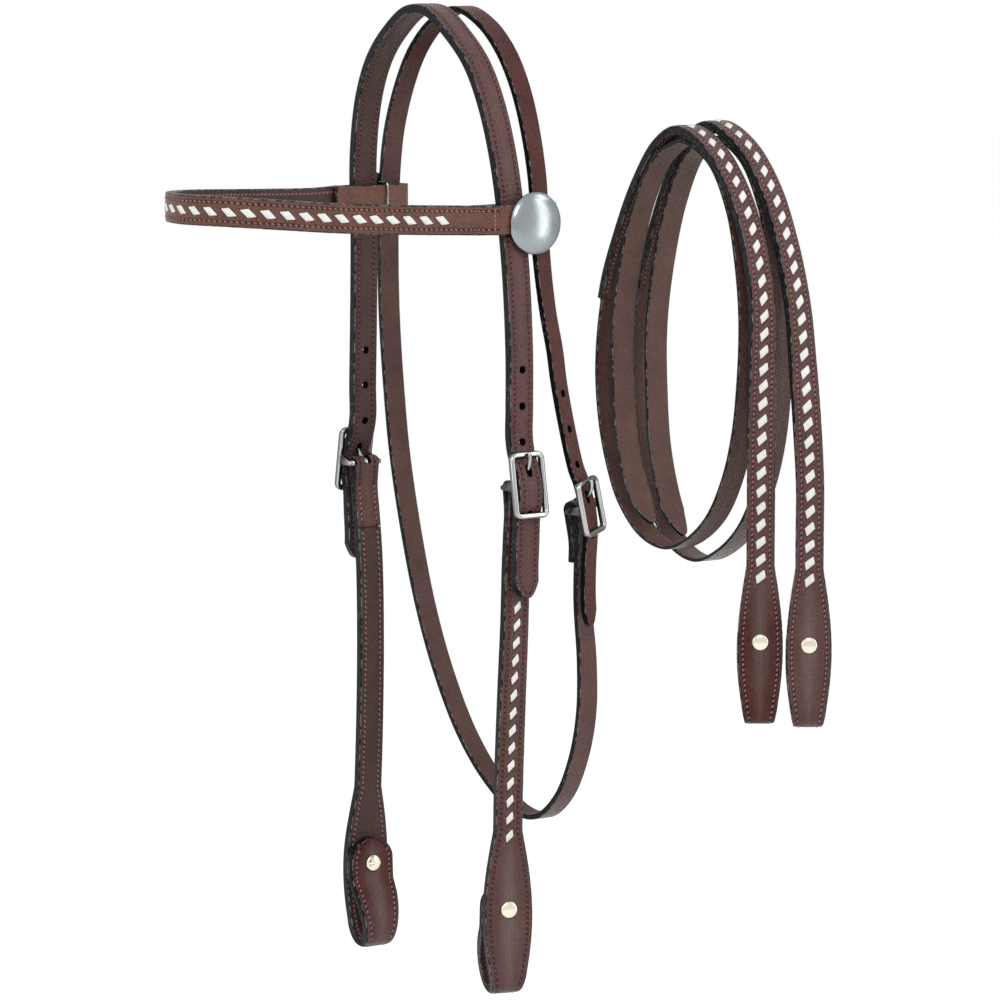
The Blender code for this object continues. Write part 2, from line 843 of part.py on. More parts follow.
def flared(full, flare, bottom_at, flap_end):
    """A half width that swells to flare round the screw on both legs of a bit loop."""

    def half(stop):
        height = abs(stop - bottom_at)
        reach = SCREW_HEIGHT if height < SCREW_HEIGHT else FLARE_LENGTH
        share = max(0.0, 1 - abs(height - SCREW_HEIGHT) / reach)
        wide = full + (flare - full) * math.sin(share * math.pi / 2)
        left = abs(flap_end - stop)
        if left < TIP_LENGTH:
            wide *= max(TIP_WIDTH / STRAP_WIDTH, math.sqrt(left / TIP_LENGTH))
        return wide

    return half


def lowest(route):
    """The length at which a route is lowest."""
    heights = [place.z for place in route.places]
    return route.lengths[heights.index(min(heights))]


def screw_length(route, bottom_at, after):
    """The length on the front leg at the screw's height. after says that the front leg comes
    after the fold."""
    low = route.places[route.lengths.index(bottom_at)].z
    front = [
        (abs(place.z - low - SCREW_HEIGHT), length)
        for place, length in zip(route.places, route.lengths)
        if (length > bottom_at) == after and abs(length - bottom_at) < FLAP_HEIGHT
    ]
    return min(front)[1]


def screw_set(prefix, route, plies, length, origin):
    """A post and a slotted screw through both legs of a bit loop, and their hole."""
    place, wide, out = route.at(length)
    up = out.cross(wide)
    matrix = Matrix((wide, up, out)).transposed().to_4x4()
    if matrix.determinant() < 0:
        matrix = Matrix((-wide, up, out)).transposed().to_4x4()
    matrix = Matrix.Translation(place) @ matrix
    outside = CROWN_THICK / 2 + GAP
    inside = -(CROWN_THICK * 1.5 + 2 * GAP)
    bore = SHANK_RADIUS + GAP
    floor = outside + HEAD_THICK / 3
    dome = [
        (0, outside + HEAD_THICK),
        (0.55 * HEAD_RADIUS, outside + 0.86 * HEAD_THICK),
        (0.88 * HEAD_RADIUS, outside + 0.5 * HEAD_THICK),
        (HEAD_RADIUS, outside),
    ]
    barrel = [
        (BARREL_RADIUS, outside),
        (BARREL_RADIUS, inside),
        (bore, inside),
        (bore, floor),
        (0, floor),
    ]
    post = turned(prefix + "_screw_post", dome + barrel, CYLINDER_SIDES)
    head = [
        (0, outside - 2 * GAP),
        (SHANK_RADIUS, outside - 2 * GAP),
        (SHANK_RADIUS, inside - GAP),
        (HEAD_RADIUS, inside - GAP),
        (0.88 * HEAD_RADIUS, inside - GAP - 0.5 * HEAD_THICK),
        (0.6 * HEAD_RADIUS, inside - GAP - HEAD_THICK),
        (0, inside - GAP - HEAD_THICK),
    ]
    screw = turned(prefix + "_slotted_screw", head, CYLINDER_SIDES)
    for made in (post, screw):
        made.data.materials.append(material(made.name, STEEL, 0.2, 1))
        made.matrix_world = matrix
        PARTS.objects.link(made)
    slot = bmesh.new()
    bmesh.ops.create_cube(slot, size=1)
    size = Matrix.Diagonal((2 * HEAD_RADIUS + OVERRUN, SLOT_WIDTH, 2 * SLOT_DEPTH, 1))
    bmesh.ops.transform(slot, matrix=size, verts=slot.verts[:])
    bottom = Vector((0, 0, inside - GAP - HEAD_THICK))
    bmesh.ops.translate(slot, verts=slot.verts[:], vec=bottom)
    helper = as_cutter(mesh_of(slot, prefix + "_slot"), prefix + "_slot")
    helper.matrix_world = matrix
    combine(screw, helper, "DIFFERENCE")
    hole = cylinder(place, out, BARREL_RADIUS + GAP, 4 * CROWN_THICK)
    helper = as_cutter(mesh_of(hole, prefix + "_screw_hole"), prefix + "_screw_hole")
    for ply in plies:
        combine(ply, helper, "DIFFERENCE")


# Cheeks. Each row: shares of HALF_SPREAD and CHEEK_LENGTH, and a heading.
NEAR_CHEEK_SHARES = (
    (0.993, 0.000, 0),
    (0.990, 0.050, 0),
    (0.968, 0.145, 2),
    (0.950, 0.270, 5),
    (0.913, 0.420, 10),
    (0.873, 0.620, 15),
    (0.866, 0.780, 17),
)
FAR_CHEEK_SHARES = (
    (0.993, 0.000, 0),
    (0.990, 0.050, 0),
    (0.930, 0.190, 0),
    (0.915, 0.360, -1),
    (0.934, 0.546, -2),
    (0.972, 0.720, -3),
    (0.990, 0.790, -3),
)


def cheek_route(side):
    shares = NEAR_CHEEK_SHARES if side > 0 else FAR_CHEEK_SHARES
    bar = bar_place(side)
    rows = [
        (
            (side * x * HALF_SPREAD, SET_BACK, bar.z - z * CHEEK_LENGTH),
            level_width(side * turn),
        )
        for x, z, turn in shares
    ]
    shorter = FAR_CHEEK_SHORTER if side < 0 else 0
    bottom = Vector((rows[-1][0][0], SET_BACK, bar.z - CHEEK_LENGTH + shorter))
    return Route(rows + placed_fold(bottom, side * shares[-1][2], side), flip=-side)


def chape_route(side):
    """The outer ply's turn round the bar, from its end behind the cheek to its front."""
    bar = bar_place(side)
    round_bar = BAR_RADIUS + GAP + LACED_PLY / 2
    straight = 0.05 * CHEEK_LENGTH
    level = (LACE_ROOM + LACED_PLY) / 2
    rows = [
        (-level, -CHAPE_LENGTH),
        (-level, -straight),
        (-0.93 * round_bar, -0.9 * round_bar),
    ]
    for eighth in range(5):
        angle = math.pi * (1 - eighth / 4)
        rows.append((round_bar * math.cos(angle), round_bar * math.sin(angle)))
    rows += [(0.93 * round_bar, -0.9 * round_bar), (level, -straight)]
    return Route(
        [((bar.x + side * n, bar.y, bar.z + u), level_width(0)) for n, u in rows], flip=-side
    )


def cheek(side):
    prefix = "near" if side > 0 else "far"
    bar = bar_place(side)
    chape = chape_route(side)
    route = cheek_route(side)
    bottom_at = lowest(route)
    half = flared(STRAP_WIDTH / 2, FLARE_WIDTH / 2, bottom_at, route.length)
    begin = 0.06 * CHEEK_LENGTH
    screw_at = screw_length(route, bottom_at, False)
    extra = (screw_at - FLARE_LENGTH / 2, screw_at, bottom_at + SCREW_HEIGHT / 2)
    extra += (bottom_at + SCREW_HEIGHT, route.length - TIP_LENGTH, route.length - TIP_LENGTH / 2)
    end = route.length - TIP_LENGTH / 8

    low, high = LACE_ROOM / 2, LACE_ROOM / 2 + LACED_PLY
    laced = screw_at - CHEEK_LACE_STOP - CHEEK_LACE_START
    middles = [CHEEK_LACE_START + k * LACE_PITCH for k in range(1 + int(laced / LACE_PITCH))]
    folded = edge_rows(
        chape, chape.stops(0, chape.length), STRAP_WIDTH / 2, -LACED_PLY / 2, LACED_PLY / 2
    )
    outer = laced_ply(
        prefix + "_cheek_outer_ply", route, begin, end, half, low, high, middles, extra, bar,
        folded,
    )
    rings = strap_rings(route, CHAPE_LENGTH + GAP, end, half, -high, -low, extra)
    lining = strap(prefix + "_cheek_lining_ply", rings, bar, LINING)
    lace(prefix + "_cheek_lace", route, middles, GAP - low, high, bar)

    screw_set(prefix, route, (outer, lining), screw_at, bar)

    matrix = cheek_buckle_matrix(side)
    chape_slot(prefix + "_chape_slot", matrix, LACED_PLY, outer)
    buckle_frame(prefix + "_buckle_frame", matrix, BUCKLE_WIDTH, BUCKLE_HEIGHT, FRAME_SET)
    tongue(prefix + "_buckle_tongue", matrix, BUCKLE_HEIGHT, FRAME_SET)


# Throatlatch. Each row: shares of HALF_SPREAD, THROAT_BACK and THROAT_DROP, and a heading.
THROAT_OVER_SHARES = (
    (1.025, 1.44, 0.452, -20),
    (1.010, 1.33, 0.405, -19),
    (0.995, 1.18, 0.360, -19),
    (0.965, 1.06, 0.290, -15),
    (0.932, 1.02, 0.200, -11),
    (0.850, 1.00, 0.140, -8),
    (0.730, 1.00, 0.092, -4),
    (0.545, 1.01, 0.049, 0),
    (0.310, 1.00, 0.017, 0),
    (0.000, 1.00, 0.000, 0),
    (-0.310, 1.00, 0.017, 0),
    (-0.565, 0.99, 0.052, 0),
    (-0.740, 0.98, 0.097, 0),
    (-0.875, 0.97, 0.155, 2),
    (-0.950, 1.00, 0.217, 4),
    (-0.985, 1.03, 0.300, 5),
    (-0.985, 1.06, 0.385, 5),
    (-0.952, 1.11, 0.475, 4),
    (-0.905, 1.18, 0.560, 3),
    (-0.815, 1.30, 0.655, 2),
    (-0.685, 1.44, 0.750, 0),
    (-0.540, 1.63, 0.830, 0),
    (-0.335, 1.85, 0.905, 0),
    (-0.100, 2.07, 0.958, 0),
    (0.170, 2.26, 0.992, 0),
    (0.430, 2.33, 0.994, 0),
    (0.680, 2.34, 0.965, 0),
    (0.862, 2.34, 0.915, 0),
    (0.980, 2.30, 0.855, 0),
    (1.008, 2.25, 0.790, -4),
    (1.012, 2.12, 0.715, -12),
)


def throat_buckle_matrix(pitch):
    return buckle_matrix(Vector(THROAT_BAR), THROAT_HEADING, 1, THROAT_ROLL, pitch)


THROAT_OFFSET = (THROAT_PLY + GAP) / 2
THROAT_SET = THROAT_OFFSET + THROAT_PLY / 2 + 4 * GAP + THROAT_PLY + FRAME_THICK / 2


def throat_rows():
    """Billet tip, through the buckle, over the poll, under the throat, and round the bar."""
    matrix = throat_buckle_matrix(0)
    half_ply = THROAT_PLY / 2
    top, bottom = under_rails(THROAT_BUCKLE_HEIGHT, THROAT_SET, THROAT_PITCH, half_ply)
    rail_at = (THROAT_BUCKLE_HEIGHT - RAIL) / 2
    round_bar = BAR_RADIUS + GAP + half_ply
    over_bar = round_bar + half_ply + 1.5 * GAP + half_ply
    over_strap = THROAT_OFFSET + half_ply + 1.3 * GAP + half_ply
    below = min(bottom[1], 1.1 * over_bar)
    down = THROAT_TAIL + bottom[0]

    def hanging(share, n):
        place, wide = local(bottom[0], n)
        return place - Vector((0, 0, share * down)), wide

    def local(u, n):
        return matrix @ Vector((0, u, n)), matrix.col[0].xyz

    billet = [
        (0, over_bar),
        (0.5 * top[0], (over_bar + top[1]) / 2),
        top,
        (1.5 * top[0], 0.35 * top[1]),
    ]
    chape = [
        (-1.3 * rail_at, THROAT_OFFSET),
        (-0.9 * round_bar, 0.93 * round_bar),
    ]
    for eighth in range(5):
        angle = math.pi * eighth / 4
        chape.append((round_bar * math.sin(angle), round_bar * math.cos(angle)))
    chape += [
        (-0.9 * round_bar, -0.93 * round_bar),
        (-1.3 * rail_at, -THROAT_OFFSET),
        (-THROAT_CHAPE, -THROAT_OFFSET),
    ]
    over = [
        ((x * HALF_SPREAD, y * THROAT_BACK, THROAT_PLY - z * THROAT_DROP), level_width(turn))
        for x, y, z, turn in THROAT_OVER_SHARES
    ]
    tail = [
        hanging(1, 1.35 * over_strap),
        hanging(0.7, 1.15 * over_strap),
        hanging(0.35, 1.2 * over_strap),
        local(bottom[0], below),
    ]
    return tail + [local(*row) for row in billet] + over + [local(*row) for row in chape]


def throatlatch():
    """One single-ply strap that passes through both browband loops and its own buckle."""
    route = Route(throat_rows())
    half = tapered(THROAT_WIDTH / 2, TIP_LENGTH, 0, TIP_WIDTH / 2, route.length)
    low, high = -THROAT_PLY / 2, THROAT_PLY / 2
    rings = strap_rings(route, 0, route.length, half, low, high, (TIP_LENGTH / 3, TIP_LENGTH))
    origin = Vector((0, THROAT_BACK, -BAND_DROP))
    ply = strap("throatlatch_strap", rings, origin)
    punched = billet_holes(THROAT_TAIL, THROAT_BUCKLE_HEIGHT)
    punch(ply, route, punched, HOLE_RADIUS, "throatlatch_holes")
    matrix = throat_buckle_matrix(THROAT_PITCH)
    tunnel = tongue_tunnel("throat_tunnel", matrix, THROAT_BUCKLE_HEIGHT, THROAT_SET)
    combine(ply, tunnel, "DIFFERENCE")
    chape_slot("throat_chape_slot", matrix, THROAT_PLY, ply)
    buckle_frame(
        "throat_buckle_frame", matrix, THROAT_BUCKLE_WIDTH, THROAT_BUCKLE_HEIGHT, THROAT_SET
    )
    tongue("throat_buckle_tongue", matrix, THROAT_BUCKLE_HEIGHT, THROAT_SET)


# Browband. Each row: shares of HALF_SPREAD, BAND_REACH and BAND_RISE.
BAND_SHARES = (
    (0.905, -0.180, 0.06),
    (0.820, -0.420, 0.25),
    (0.725, -0.645, 0.50),
    (0.600, -0.815, 0.78),
    (0.436, -0.920, 0.94),
    (0.260, -0.975, 1.00),
    (0.000, -1.000, 1.00),
    (-0.260, -0.975, 1.00),
    (-0.436, -0.920, 0.97),
    (-0.600, -0.815, 0.90),
    (-0.725, -0.645, 0.76),
    (-0.820, -0.420, 0.58),
    (-0.905, -0.180, 0.44),
)


def loop_rows(side, drop):
    """The end of the browband: from its stitched end inside, round behind the two straps, and
    forwards outside them."""
    middle = LOOP_STRAP_SHARE * HALF_SPREAD
    away = LOOP_HALF
    front = SET_BACK - STRAP_WIDTH / 2
    rear = THROAT_BACK + THROAT_WIDTH / 2 + LOOP_SLACK + PLY / 2
    inside, outside = middle - away, middle + away
    plan = (
        (inside + 0.2 * PLY, front - 1.05 * STRAP_WIDTH),
        (inside + 0.85 * PLY, front - 0.6 * STRAP_WIDTH),
        (inside + 0.3 * PLY, front - 0.25 * STRAP_WIDTH),
        (inside, front + 0.2 * STRAP_WIDTH),
        (inside, rear - 1.5 * away),
        (inside + 0.22 * away, rear - 0.45 * away),
        (middle, rear),
        (outside - 0.22 * away, rear - 0.45 * away),
        (outside, rear - 1.5 * away),
        (outside, front + 0.2 * STRAP_WIDTH),
        (outside - 0.1 * PLY, front - 0.2 * STRAP_WIDTH),
        (outside - 1.2 * PLY, front - 0.62 * STRAP_WIDTH),
        (outside - 3.0 * PLY, front - 1.12 * STRAP_WIDTH),
    )
    return [((side * x, y, -drop), Vector((0, 0, 1))) for x, y in plan]


def browband():
    """A base ply whose ends wrap round the straps as loops, under a laced outer ply."""
    near = loop_rows(1, BAND_DROP)
    far = loop_rows(-1, BAND_DROP - FAR_BAND_RISE)
    middle = [
        ((x * HALF_SPREAD, y * BAND_REACH, BAND_RISE * z - BAND_DROP), Vector((0, 0, 1)))
        for x, y, z in BAND_SHARES
    ]
    route = Route(near + middle + far[::-1])
    half = STRAP_WIDTH / 2
    origin = Vector((0, 0, -BAND_DROP))
    strap("browband_base", strap_rings(route, 0, route.length, half, -PLY / 2, PLY / 2), origin)
    wrap = Route(near).length
    first = wrap - 0.8 * STRAP_WIDTH
    last = route.length - first
    low, high = PLY / 2 + LACE_ROOM, PLY / 2 + LACE_ROOM + LACED_PLY
    spread = LACE_PITCH * (BAND_LACE_COUNT - 1) / 2
    middle = (first + last) / 2
    middles = [middle - spread + k * LACE_PITCH for k in range(BAND_LACE_COUNT)]
    laced_ply("browband_overlay", route, first, last, half, low, high, middles, (), origin)
    lace("browband_lace", route, middles, PLY / 2 + GAP, high, origin)


def wire_ring(name, matrix, width, height):
    """A closed ring of wire in the XY plane of a matrix."""
    points = rounded_rectangle(width, height, 2.5 * WIRE_RADIUS)
    curve = bpy.data.curves.new(name, "CURVE")
    curve.dimensions = "3D"
    curve.bevel_depth = WIRE_RADIUS
    curve.bevel_resolution = 1
    spline = curve.splines.new("POLY")
    spline.points.add(len(points) - 1)
    for point, (x, y) in zip(spline.points, points):
        point.co = (x, y, 0, 1)
    spline.use_cyclic_u = True
    made = bpy.data.objects.new(name, curve)
    curve.materials.append(material(name, STEEL, 0.2, 1))
    made.matrix_world = matrix
    PARTS.objects.link(made)


def concho(side):
    """A domed concho outside a browband loop, with a wire ring round the loop between the
    two straps."""
    prefix = "near" if side > 0 else "far"
    middle = LOOP_STRAP_SHARE * HALF_SPREAD
    face = LOOP_HALF + PLY / 2
    between = (SET_BACK + STRAP_WIDTH / 2 + THROAT_BACK - THROAT_WIDTH / 2 + GAP / 2) / 2
    height = -BAND_DROP + (FAR_BAND_RISE if side < 0 else 0)
    place = Vector((side * (middle + face + 2 * GAP), between, height - CONCHO_DROP))
    matrix = buckle_matrix(place, 0, side)
    profile = []
    rim = CONCHO_RADIUS
    for k in range(6):
        angle = math.pi / 2 * k / 5
        profile.append((rim * math.sin(angle), CONCHO_RISE * math.cos(angle)))
    inner_rim = rim - CONCHO_WALL
    inner_rise = CONCHO_RISE - CONCHO_WALL
    for k in range(5, -1, -1):
        angle = math.pi / 2 * k / 5
        profile.append((inner_rim * math.sin(angle), inner_rise * math.cos(angle)))
    dome = turned(prefix + "_concho_dome", profile, DOME_SIDES)
    dome.data.materials.append(material(dome.name, STEEL, 0.3, 1))
    dome.matrix_world = matrix
    PARTS.objects.link(dome)

    ring_place = Vector((side * middle, between, height))
    wide = Vector((side, 0, 0))
    up = Vector((0, 0, 1))
    rows = Matrix((wide, up, wide.cross(up))).transposed().to_4x4()
    across = 2 * (face + 2 * GAP + WIRE_RADIUS)
    tall = STRAP_WIDTH + 2 * (2 * GAP + WIRE_RADIUS)
    wire_ring(prefix + "_concho_wire", Matrix.Translation(ring_place) @ rows, across, tall)


# Reins. Each row: share of the loop's half width, share of REIN_LOOP_DROP, heading.
REIN_FRONT_SHARES = (
    (1.000, 0.900, 37),
    (1.000, 0.790, 36),
    (1.000, 0.660, 28),
    (1.000, 0.520, 14),
    (0.985, 0.385, 5),
    (0.872, 0.250, 0),
    (0.656, 0.130, 0),
    (0.353, 0.040, 0),
    (0.000, 0.000, 0),
    (-0.270, 0.035, 0),
    (-0.540, 0.128, 0),
    (-0.775, 0.250, 0),
    (-0.970, 0.385, 0),
    (-1.070, 0.560, 0),
    (-1.035, 0.700, 0),
    (-0.925, 0.812, 0),
    (-0.755, 0.905, 0),
    (-0.460, 0.978, 0),
    (-0.120, 1.000, 0),
    (0.180, 0.970, 0),
    (0.450, 0.908, 0),
    (0.650, 0.815, 0),
    (0.775, 0.710, 0),
    (0.840, 0.590, 0),
    (0.865, 0.440, 0),
    (0.815, 0.310, 0),
    (0.690, 0.175, 0),
    (0.440, 0.066, 0),
    (0.060, 0.021, 0),
    (-0.300, 0.066, 0),
    (-0.560, 0.172, 0),
    (-0.745, 0.315, 0),
    (-0.850, 0.470, 0),
    (-0.845, 0.620, 0),
    (-0.785, 0.760, 2),
    (-0.600, 0.895, 4),
    (-0.430, 0.950, 4),
)


def swung(row, height):
    """How much of a rein's swing a row of its first leg has."""
    return min(1.0, max(0.0, (height - 0.3) / 0.45)) if row < 6 else 0.0


def rein(number):
    """A strap that is folded at its bit end and hangs in two turns, laced on its first one."""
    prefix = f"rein_{number}"
    second = number == 2
    far_half = REIN_HALF * (FAR_REIN_SHARE if second else 1)
    near_half = REIN_HALF * (NEAR_REIN_SHARE if second else 1)
    back = REIN_BACK + (REIN_SPACING if second else 0)
    swing = REIN_SWING if second else 0
    loop_drop = REIN_LOOP_DROP + (REIN_LOOP_EXTRA if second else 0)
    raised = SECOND_REIN_RISE if second else 0
    drop = REIN_DROP + (REIN_EXTRA_DROP if second else 0)
    bottom = Vector((near_half + swing, back, -REIN_TOP - drop))
    top = raised - REIN_TOP - LACED_PLY - LACE_ROOM / 2
    fold = placed_fold(bottom, REIN_FRONT_SHARES[0][2], 1)
    rows = [
        (
            (
                x * (near_half if x > 0 else far_half) + swing * swung(k, z),
                back,
                top - z * loop_drop,
            ),
            level_width(turn),
        )
        for k, (x, z, turn) in enumerate(REIN_FRONT_SHARES)
    ]
    above = bottom + Vector((0, 0, FLAP_HEIGHT + TIP_LENGTH))
    route = Route(fold[::-1] + [(above, fold[0][1])] + rows)
    bottom_at = lowest(route)
    origin = Vector((0, back, top))
    flare = flared(STRAP_WIDTH / 2, REIN_FLARE_WIDTH / 2, bottom_at, 0)
    tail = tapered(STRAP_WIDTH / 2, 0, 2 * TIP_LENGTH, TIP_WIDTH / 2, route.length)

    def half(stop):
        return min(flare(stop), tail(stop)) if stop > route.length / 2 else flare(stop)

    screw_at = screw_length(route, bottom_at, True)
    begin = TIP_LENGTH / 8
    extra = (TIP_LENGTH, screw_at, screw_at + FLARE_LENGTH / 2, route.length - TIP_LENGTH)
    low, high = LACE_ROOM / 2, LACE_ROOM / 2 + LACED_PLY
    rings = strap_rings(route, begin, route.length, half, -high, -low, extra)
    base = strap(prefix + "_strap", rings, origin, LINING)
    laced = bottom_at + REIN_LACE_START
    middles = [laced + k * LACE_PITCH for k in range(REIN_LACE_COUNT)]
    end = bottom_at + REIN_OVERLAY_END
    outer = laced_ply(
        prefix + "_overlay", route, begin, end, half, low, high, middles, extra, origin
    )
    lace(prefix + "_lace", route, middles, GAP - low, high, origin)
    screw_set(prefix, route, (base, outer), screw_at, origin)


crown()
for cheek_side in (1, -1):
    cheek(cheek_side)
    concho(cheek_side)
throatlatch()
browband()
for rein_number in (1, 2):
    rein(rein_number)
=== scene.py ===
# %% [markdown]
# # A western headstall with its split reins
# This lesson dresses a plain model of the headstall: the straps get their rounded, painted
# edges, stitches and white lace, and the metal gets its polish. The plain model holds every
# size and place, so the first step loads it and keeps its box.

# %% Load the plain model
import math
from functools import partial

import bmesh
import bpy
import numpy as np
from mathutils import Matrix, Vector


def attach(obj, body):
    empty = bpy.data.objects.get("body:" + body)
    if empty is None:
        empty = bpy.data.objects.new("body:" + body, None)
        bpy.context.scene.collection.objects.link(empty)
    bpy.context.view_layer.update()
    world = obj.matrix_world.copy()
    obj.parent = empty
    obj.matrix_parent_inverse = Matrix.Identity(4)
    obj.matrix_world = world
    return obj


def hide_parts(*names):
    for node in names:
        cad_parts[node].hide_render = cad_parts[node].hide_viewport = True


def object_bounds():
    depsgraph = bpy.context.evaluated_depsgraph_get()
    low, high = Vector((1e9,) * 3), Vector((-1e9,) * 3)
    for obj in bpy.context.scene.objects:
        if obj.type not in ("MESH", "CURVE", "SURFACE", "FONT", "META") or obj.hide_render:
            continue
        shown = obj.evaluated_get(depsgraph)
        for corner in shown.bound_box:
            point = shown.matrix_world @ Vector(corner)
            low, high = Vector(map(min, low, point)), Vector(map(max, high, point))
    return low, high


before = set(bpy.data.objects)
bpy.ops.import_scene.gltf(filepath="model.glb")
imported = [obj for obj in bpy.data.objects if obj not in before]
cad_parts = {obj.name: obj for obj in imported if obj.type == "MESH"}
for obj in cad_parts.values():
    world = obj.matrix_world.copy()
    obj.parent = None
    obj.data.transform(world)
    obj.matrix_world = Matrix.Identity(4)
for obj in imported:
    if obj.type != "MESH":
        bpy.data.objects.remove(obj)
plain_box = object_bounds()
MM = 0.001
print("pieces in the plain model:", len(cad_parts))
print("its box in mm:", [[round(c / MM, 1) for c in corner] for corner in plain_box])

# %% [markdown]
# ## Camera, floor and light
# The headstall hangs, so the camera stands a few metres off with a long lens, a little above
# the middle, and the floor lies well below. The floor and the world look white to the camera
# and in polished metal, while the light that reaches the leather stays plain and soft. Sun
# lamps would be simpler, but only broad lamps give the long highlights of a rounded edge.

# %% Camera
AZIMUTH, ELEVATION, DISTANCE = math.radians(53), math.radians(7), 2.8
FRAME_PIXELS, SENSOR, FAR_CLIP = 1000, 36, 50
METRES_PER_PIXEL = 0.552 * MM
CROWN_TOP, SEEN_AT = Vector((0, 3 * MM, 5 * MM)), (430, 6)


def scene_object(name, data):
    """A new object that is in the scene and shows this data."""
    made = bpy.data.objects.new(name, data)
    bpy.context.scene.collection.objects.link(made)
    return made


def look_along(made, direction):
    """Turns a camera or a lamp, which look down their own Z, to this direction."""
    made.rotation_mode = "QUATERNION"
    made.rotation_quaternion = direction.to_track_quat("-Z", "Y")


flat = math.cos(ELEVATION)
back = Vector((math.sin(AZIMUTH) * flat, -math.cos(AZIMUTH) * flat, math.sin(ELEVATION)))
right = Vector((math.cos(AZIMUTH), math.sin(AZIMUTH), 0))
up = back.cross(right)
middle = CROWN_TOP - right * (SEEN_AT[0] - FRAME_PIXELS / 2) * METRES_PER_PIXEL
middle -= up * (FRAME_PIXELS / 2 - SEEN_AT[1]) * METRES_PER_PIXEL
camera = scene_object("camera", bpy.data.cameras.new("camera"))
camera.data.sensor_width = SENSOR
camera.data.lens = SENSOR * DISTANCE / METRES_PER_PIXEL / FRAME_PIXELS
camera.data.clip_end = FAR_CLIP
camera.location = middle + back * DISTANCE
look_along(camera, -back)
bpy.context.scene.camera = camera
bpy.context.scene.view_settings.view_transform = "Standard"
print("lens in mm:", round(camera.data.lens, 1))


# %% Node helpers
def new_material(name):
    """An empty node material with a Principled shader, as (material, tree, shader)."""
    made = bpy.data.materials.new(name)
    made.use_nodes = True
    return made, made.node_tree, made.node_tree.nodes["Principled BSDF"]


def feed(socket, value):
    """Links an input socket to another node's output, or sets it to a plain value."""
    if isinstance(value, bpy.types.NodeSocket):
        socket.id_data.links.new(value, socket)
    else:
        socket.default_value = value


def add(tree, kind, **settings):
    """A node of this kind. Settings that are the node's own properties go by name, and a
    setting that starts with in_ goes to the input socket of that name or number."""
    node = tree.nodes.new(kind)
    for key, value in settings.items():
        if not key.startswith("in_"):
            setattr(node, key, value)
    for key, value in settings.items():
        if key.startswith("in_"):
            key = key[3:]
            feed(node.inputs[int(key) if key.isdigit() else key.replace("_", " ")], value)
    return node


def calc(operation, a, b=0.0, clamp=False):
    """One step of arithmetic, in the tree of a or b, of which at least one is a node's output."""
    tree = next(value.id_data for value in (a, b) if isinstance(value, bpy.types.NodeSocket))
    node = add(tree, "ShaderNodeMath", operation=operation, use_clamp=clamp, in_0=a, in_1=b)
    return node.outputs[0]


plus, minus = partial(calc, "ADD"), partial(calc, "SUBTRACT")
times, divided = partial(calc, "MULTIPLY"), partial(calc, "DIVIDE")


def noise(place, scale, detail=3.0):
    """Noise with about this many waves to the metre."""
    kind = "ShaderNodeTexNoise"
    return add(place.id_data, kind, in_Vector=place, in_Scale=scale, in_Detail=detail).outputs[0]


def blend_colour(share, a, b):
    """Colour a where share is 0 and b where it is 1."""
    node = add(share.id_data, "ShaderNodeMix", data_type="RGBA")
    feed(node.inputs["Factor"], share)
    for socket, value in zip((node.inputs[6], node.inputs[7]), (a, b)):
        feed(socket, value if isinstance(value, bpy.types.NodeSocket) else (*value[:3], 1))
    return node.outputs[2]


def scaled(colour, share):
    """A colour made lighter or darker."""
    node = add(colour.id_data, "ShaderNodeVectorMath", operation="SCALE", in_0=colour, in_Scale=share)
    return node.outputs[0]


def new_group(name, inputs, outputs):
    """A shader group with named inputs, as {name: (kind, value)}, and outputs, {name: kind}.
    It comes with its inputs' sockets and with a function that fills an output."""
    tree = bpy.data.node_groups.new(name, "ShaderNodeTree")
    for label, (kind, value) in inputs.items():
        socket = tree.interface.new_socket(label, in_out="INPUT", socket_type=kind)
        if value is not None:
            socket.default_value = value
    for label, kind in outputs.items():
        tree.interface.new_socket(label, in_out="OUTPUT", socket_type=kind)
    given, gives = tree.nodes.new("NodeGroupInput"), tree.nodes.new("NodeGroupOutput")
    return tree, given.outputs, lambda label, value: feed(gives.inputs[label], value)


def use_group(tree, group, **inputs):
    """The outputs of a group that is placed in a tree, with these inputs set."""
    node = add(tree, "ShaderNodeGroup", node_tree=group)
    for key, value in inputs.items():
        feed(node.inputs[key.replace("_", " ")], value)
    return node.outputs


def link_surface(shader, colour, rough, height, bump_strength):
    """Links a surface's colour, roughness and height to its shader."""
    bump = add(
        shader.id_data, "ShaderNodeBump", in_Height=height, in_Strength=bump_strength, in_Distance=1.0
    )
    feed(shader.inputs["Base Color"], colour)
    feed(shader.inputs["Roughness"], rough)
    feed(shader.inputs["Normal"], bump.outputs[0])


NUMBER, COLOUR, VECTOR = "NodeSocketFloat", "NodeSocketColor", "NodeSocketVector"
print("node helpers are ready")


# %% Floor and world
SKY_LIGHT, FLOOR_GREY, FLOOR_ROUGHNESS, FLOOR_GLOW = 0.44, 0.72, 0.9, 0.68
FLOOR_DROP, FLOOR_HALF = 0.35, 12


def white_to_the_eye(tree, lit):
    """How bright the floor or the sky is: 1 where the camera, metal or glass looks at it, and
    lit for the light that it gives."""
    path = tree.nodes.new("ShaderNodeLightPath").outputs
    seen = calc("MAXIMUM", path["Is Camera Ray"], path["Is Glossy Ray"])
    seen = calc("MAXIMUM", seen, path["Is Transmission Ray"])
    return plus(times(seen, 1 - lit), lit)


world = bpy.data.worlds.new("studio")
world.use_nodes = True
bpy.context.scene.world = world
sky = world.node_tree.nodes["Background"]
feed(sky.inputs["Color"], (1, 1, 1, 1))
feed(sky.inputs["Strength"], white_to_the_eye(world.node_tree, SKY_LIGHT))

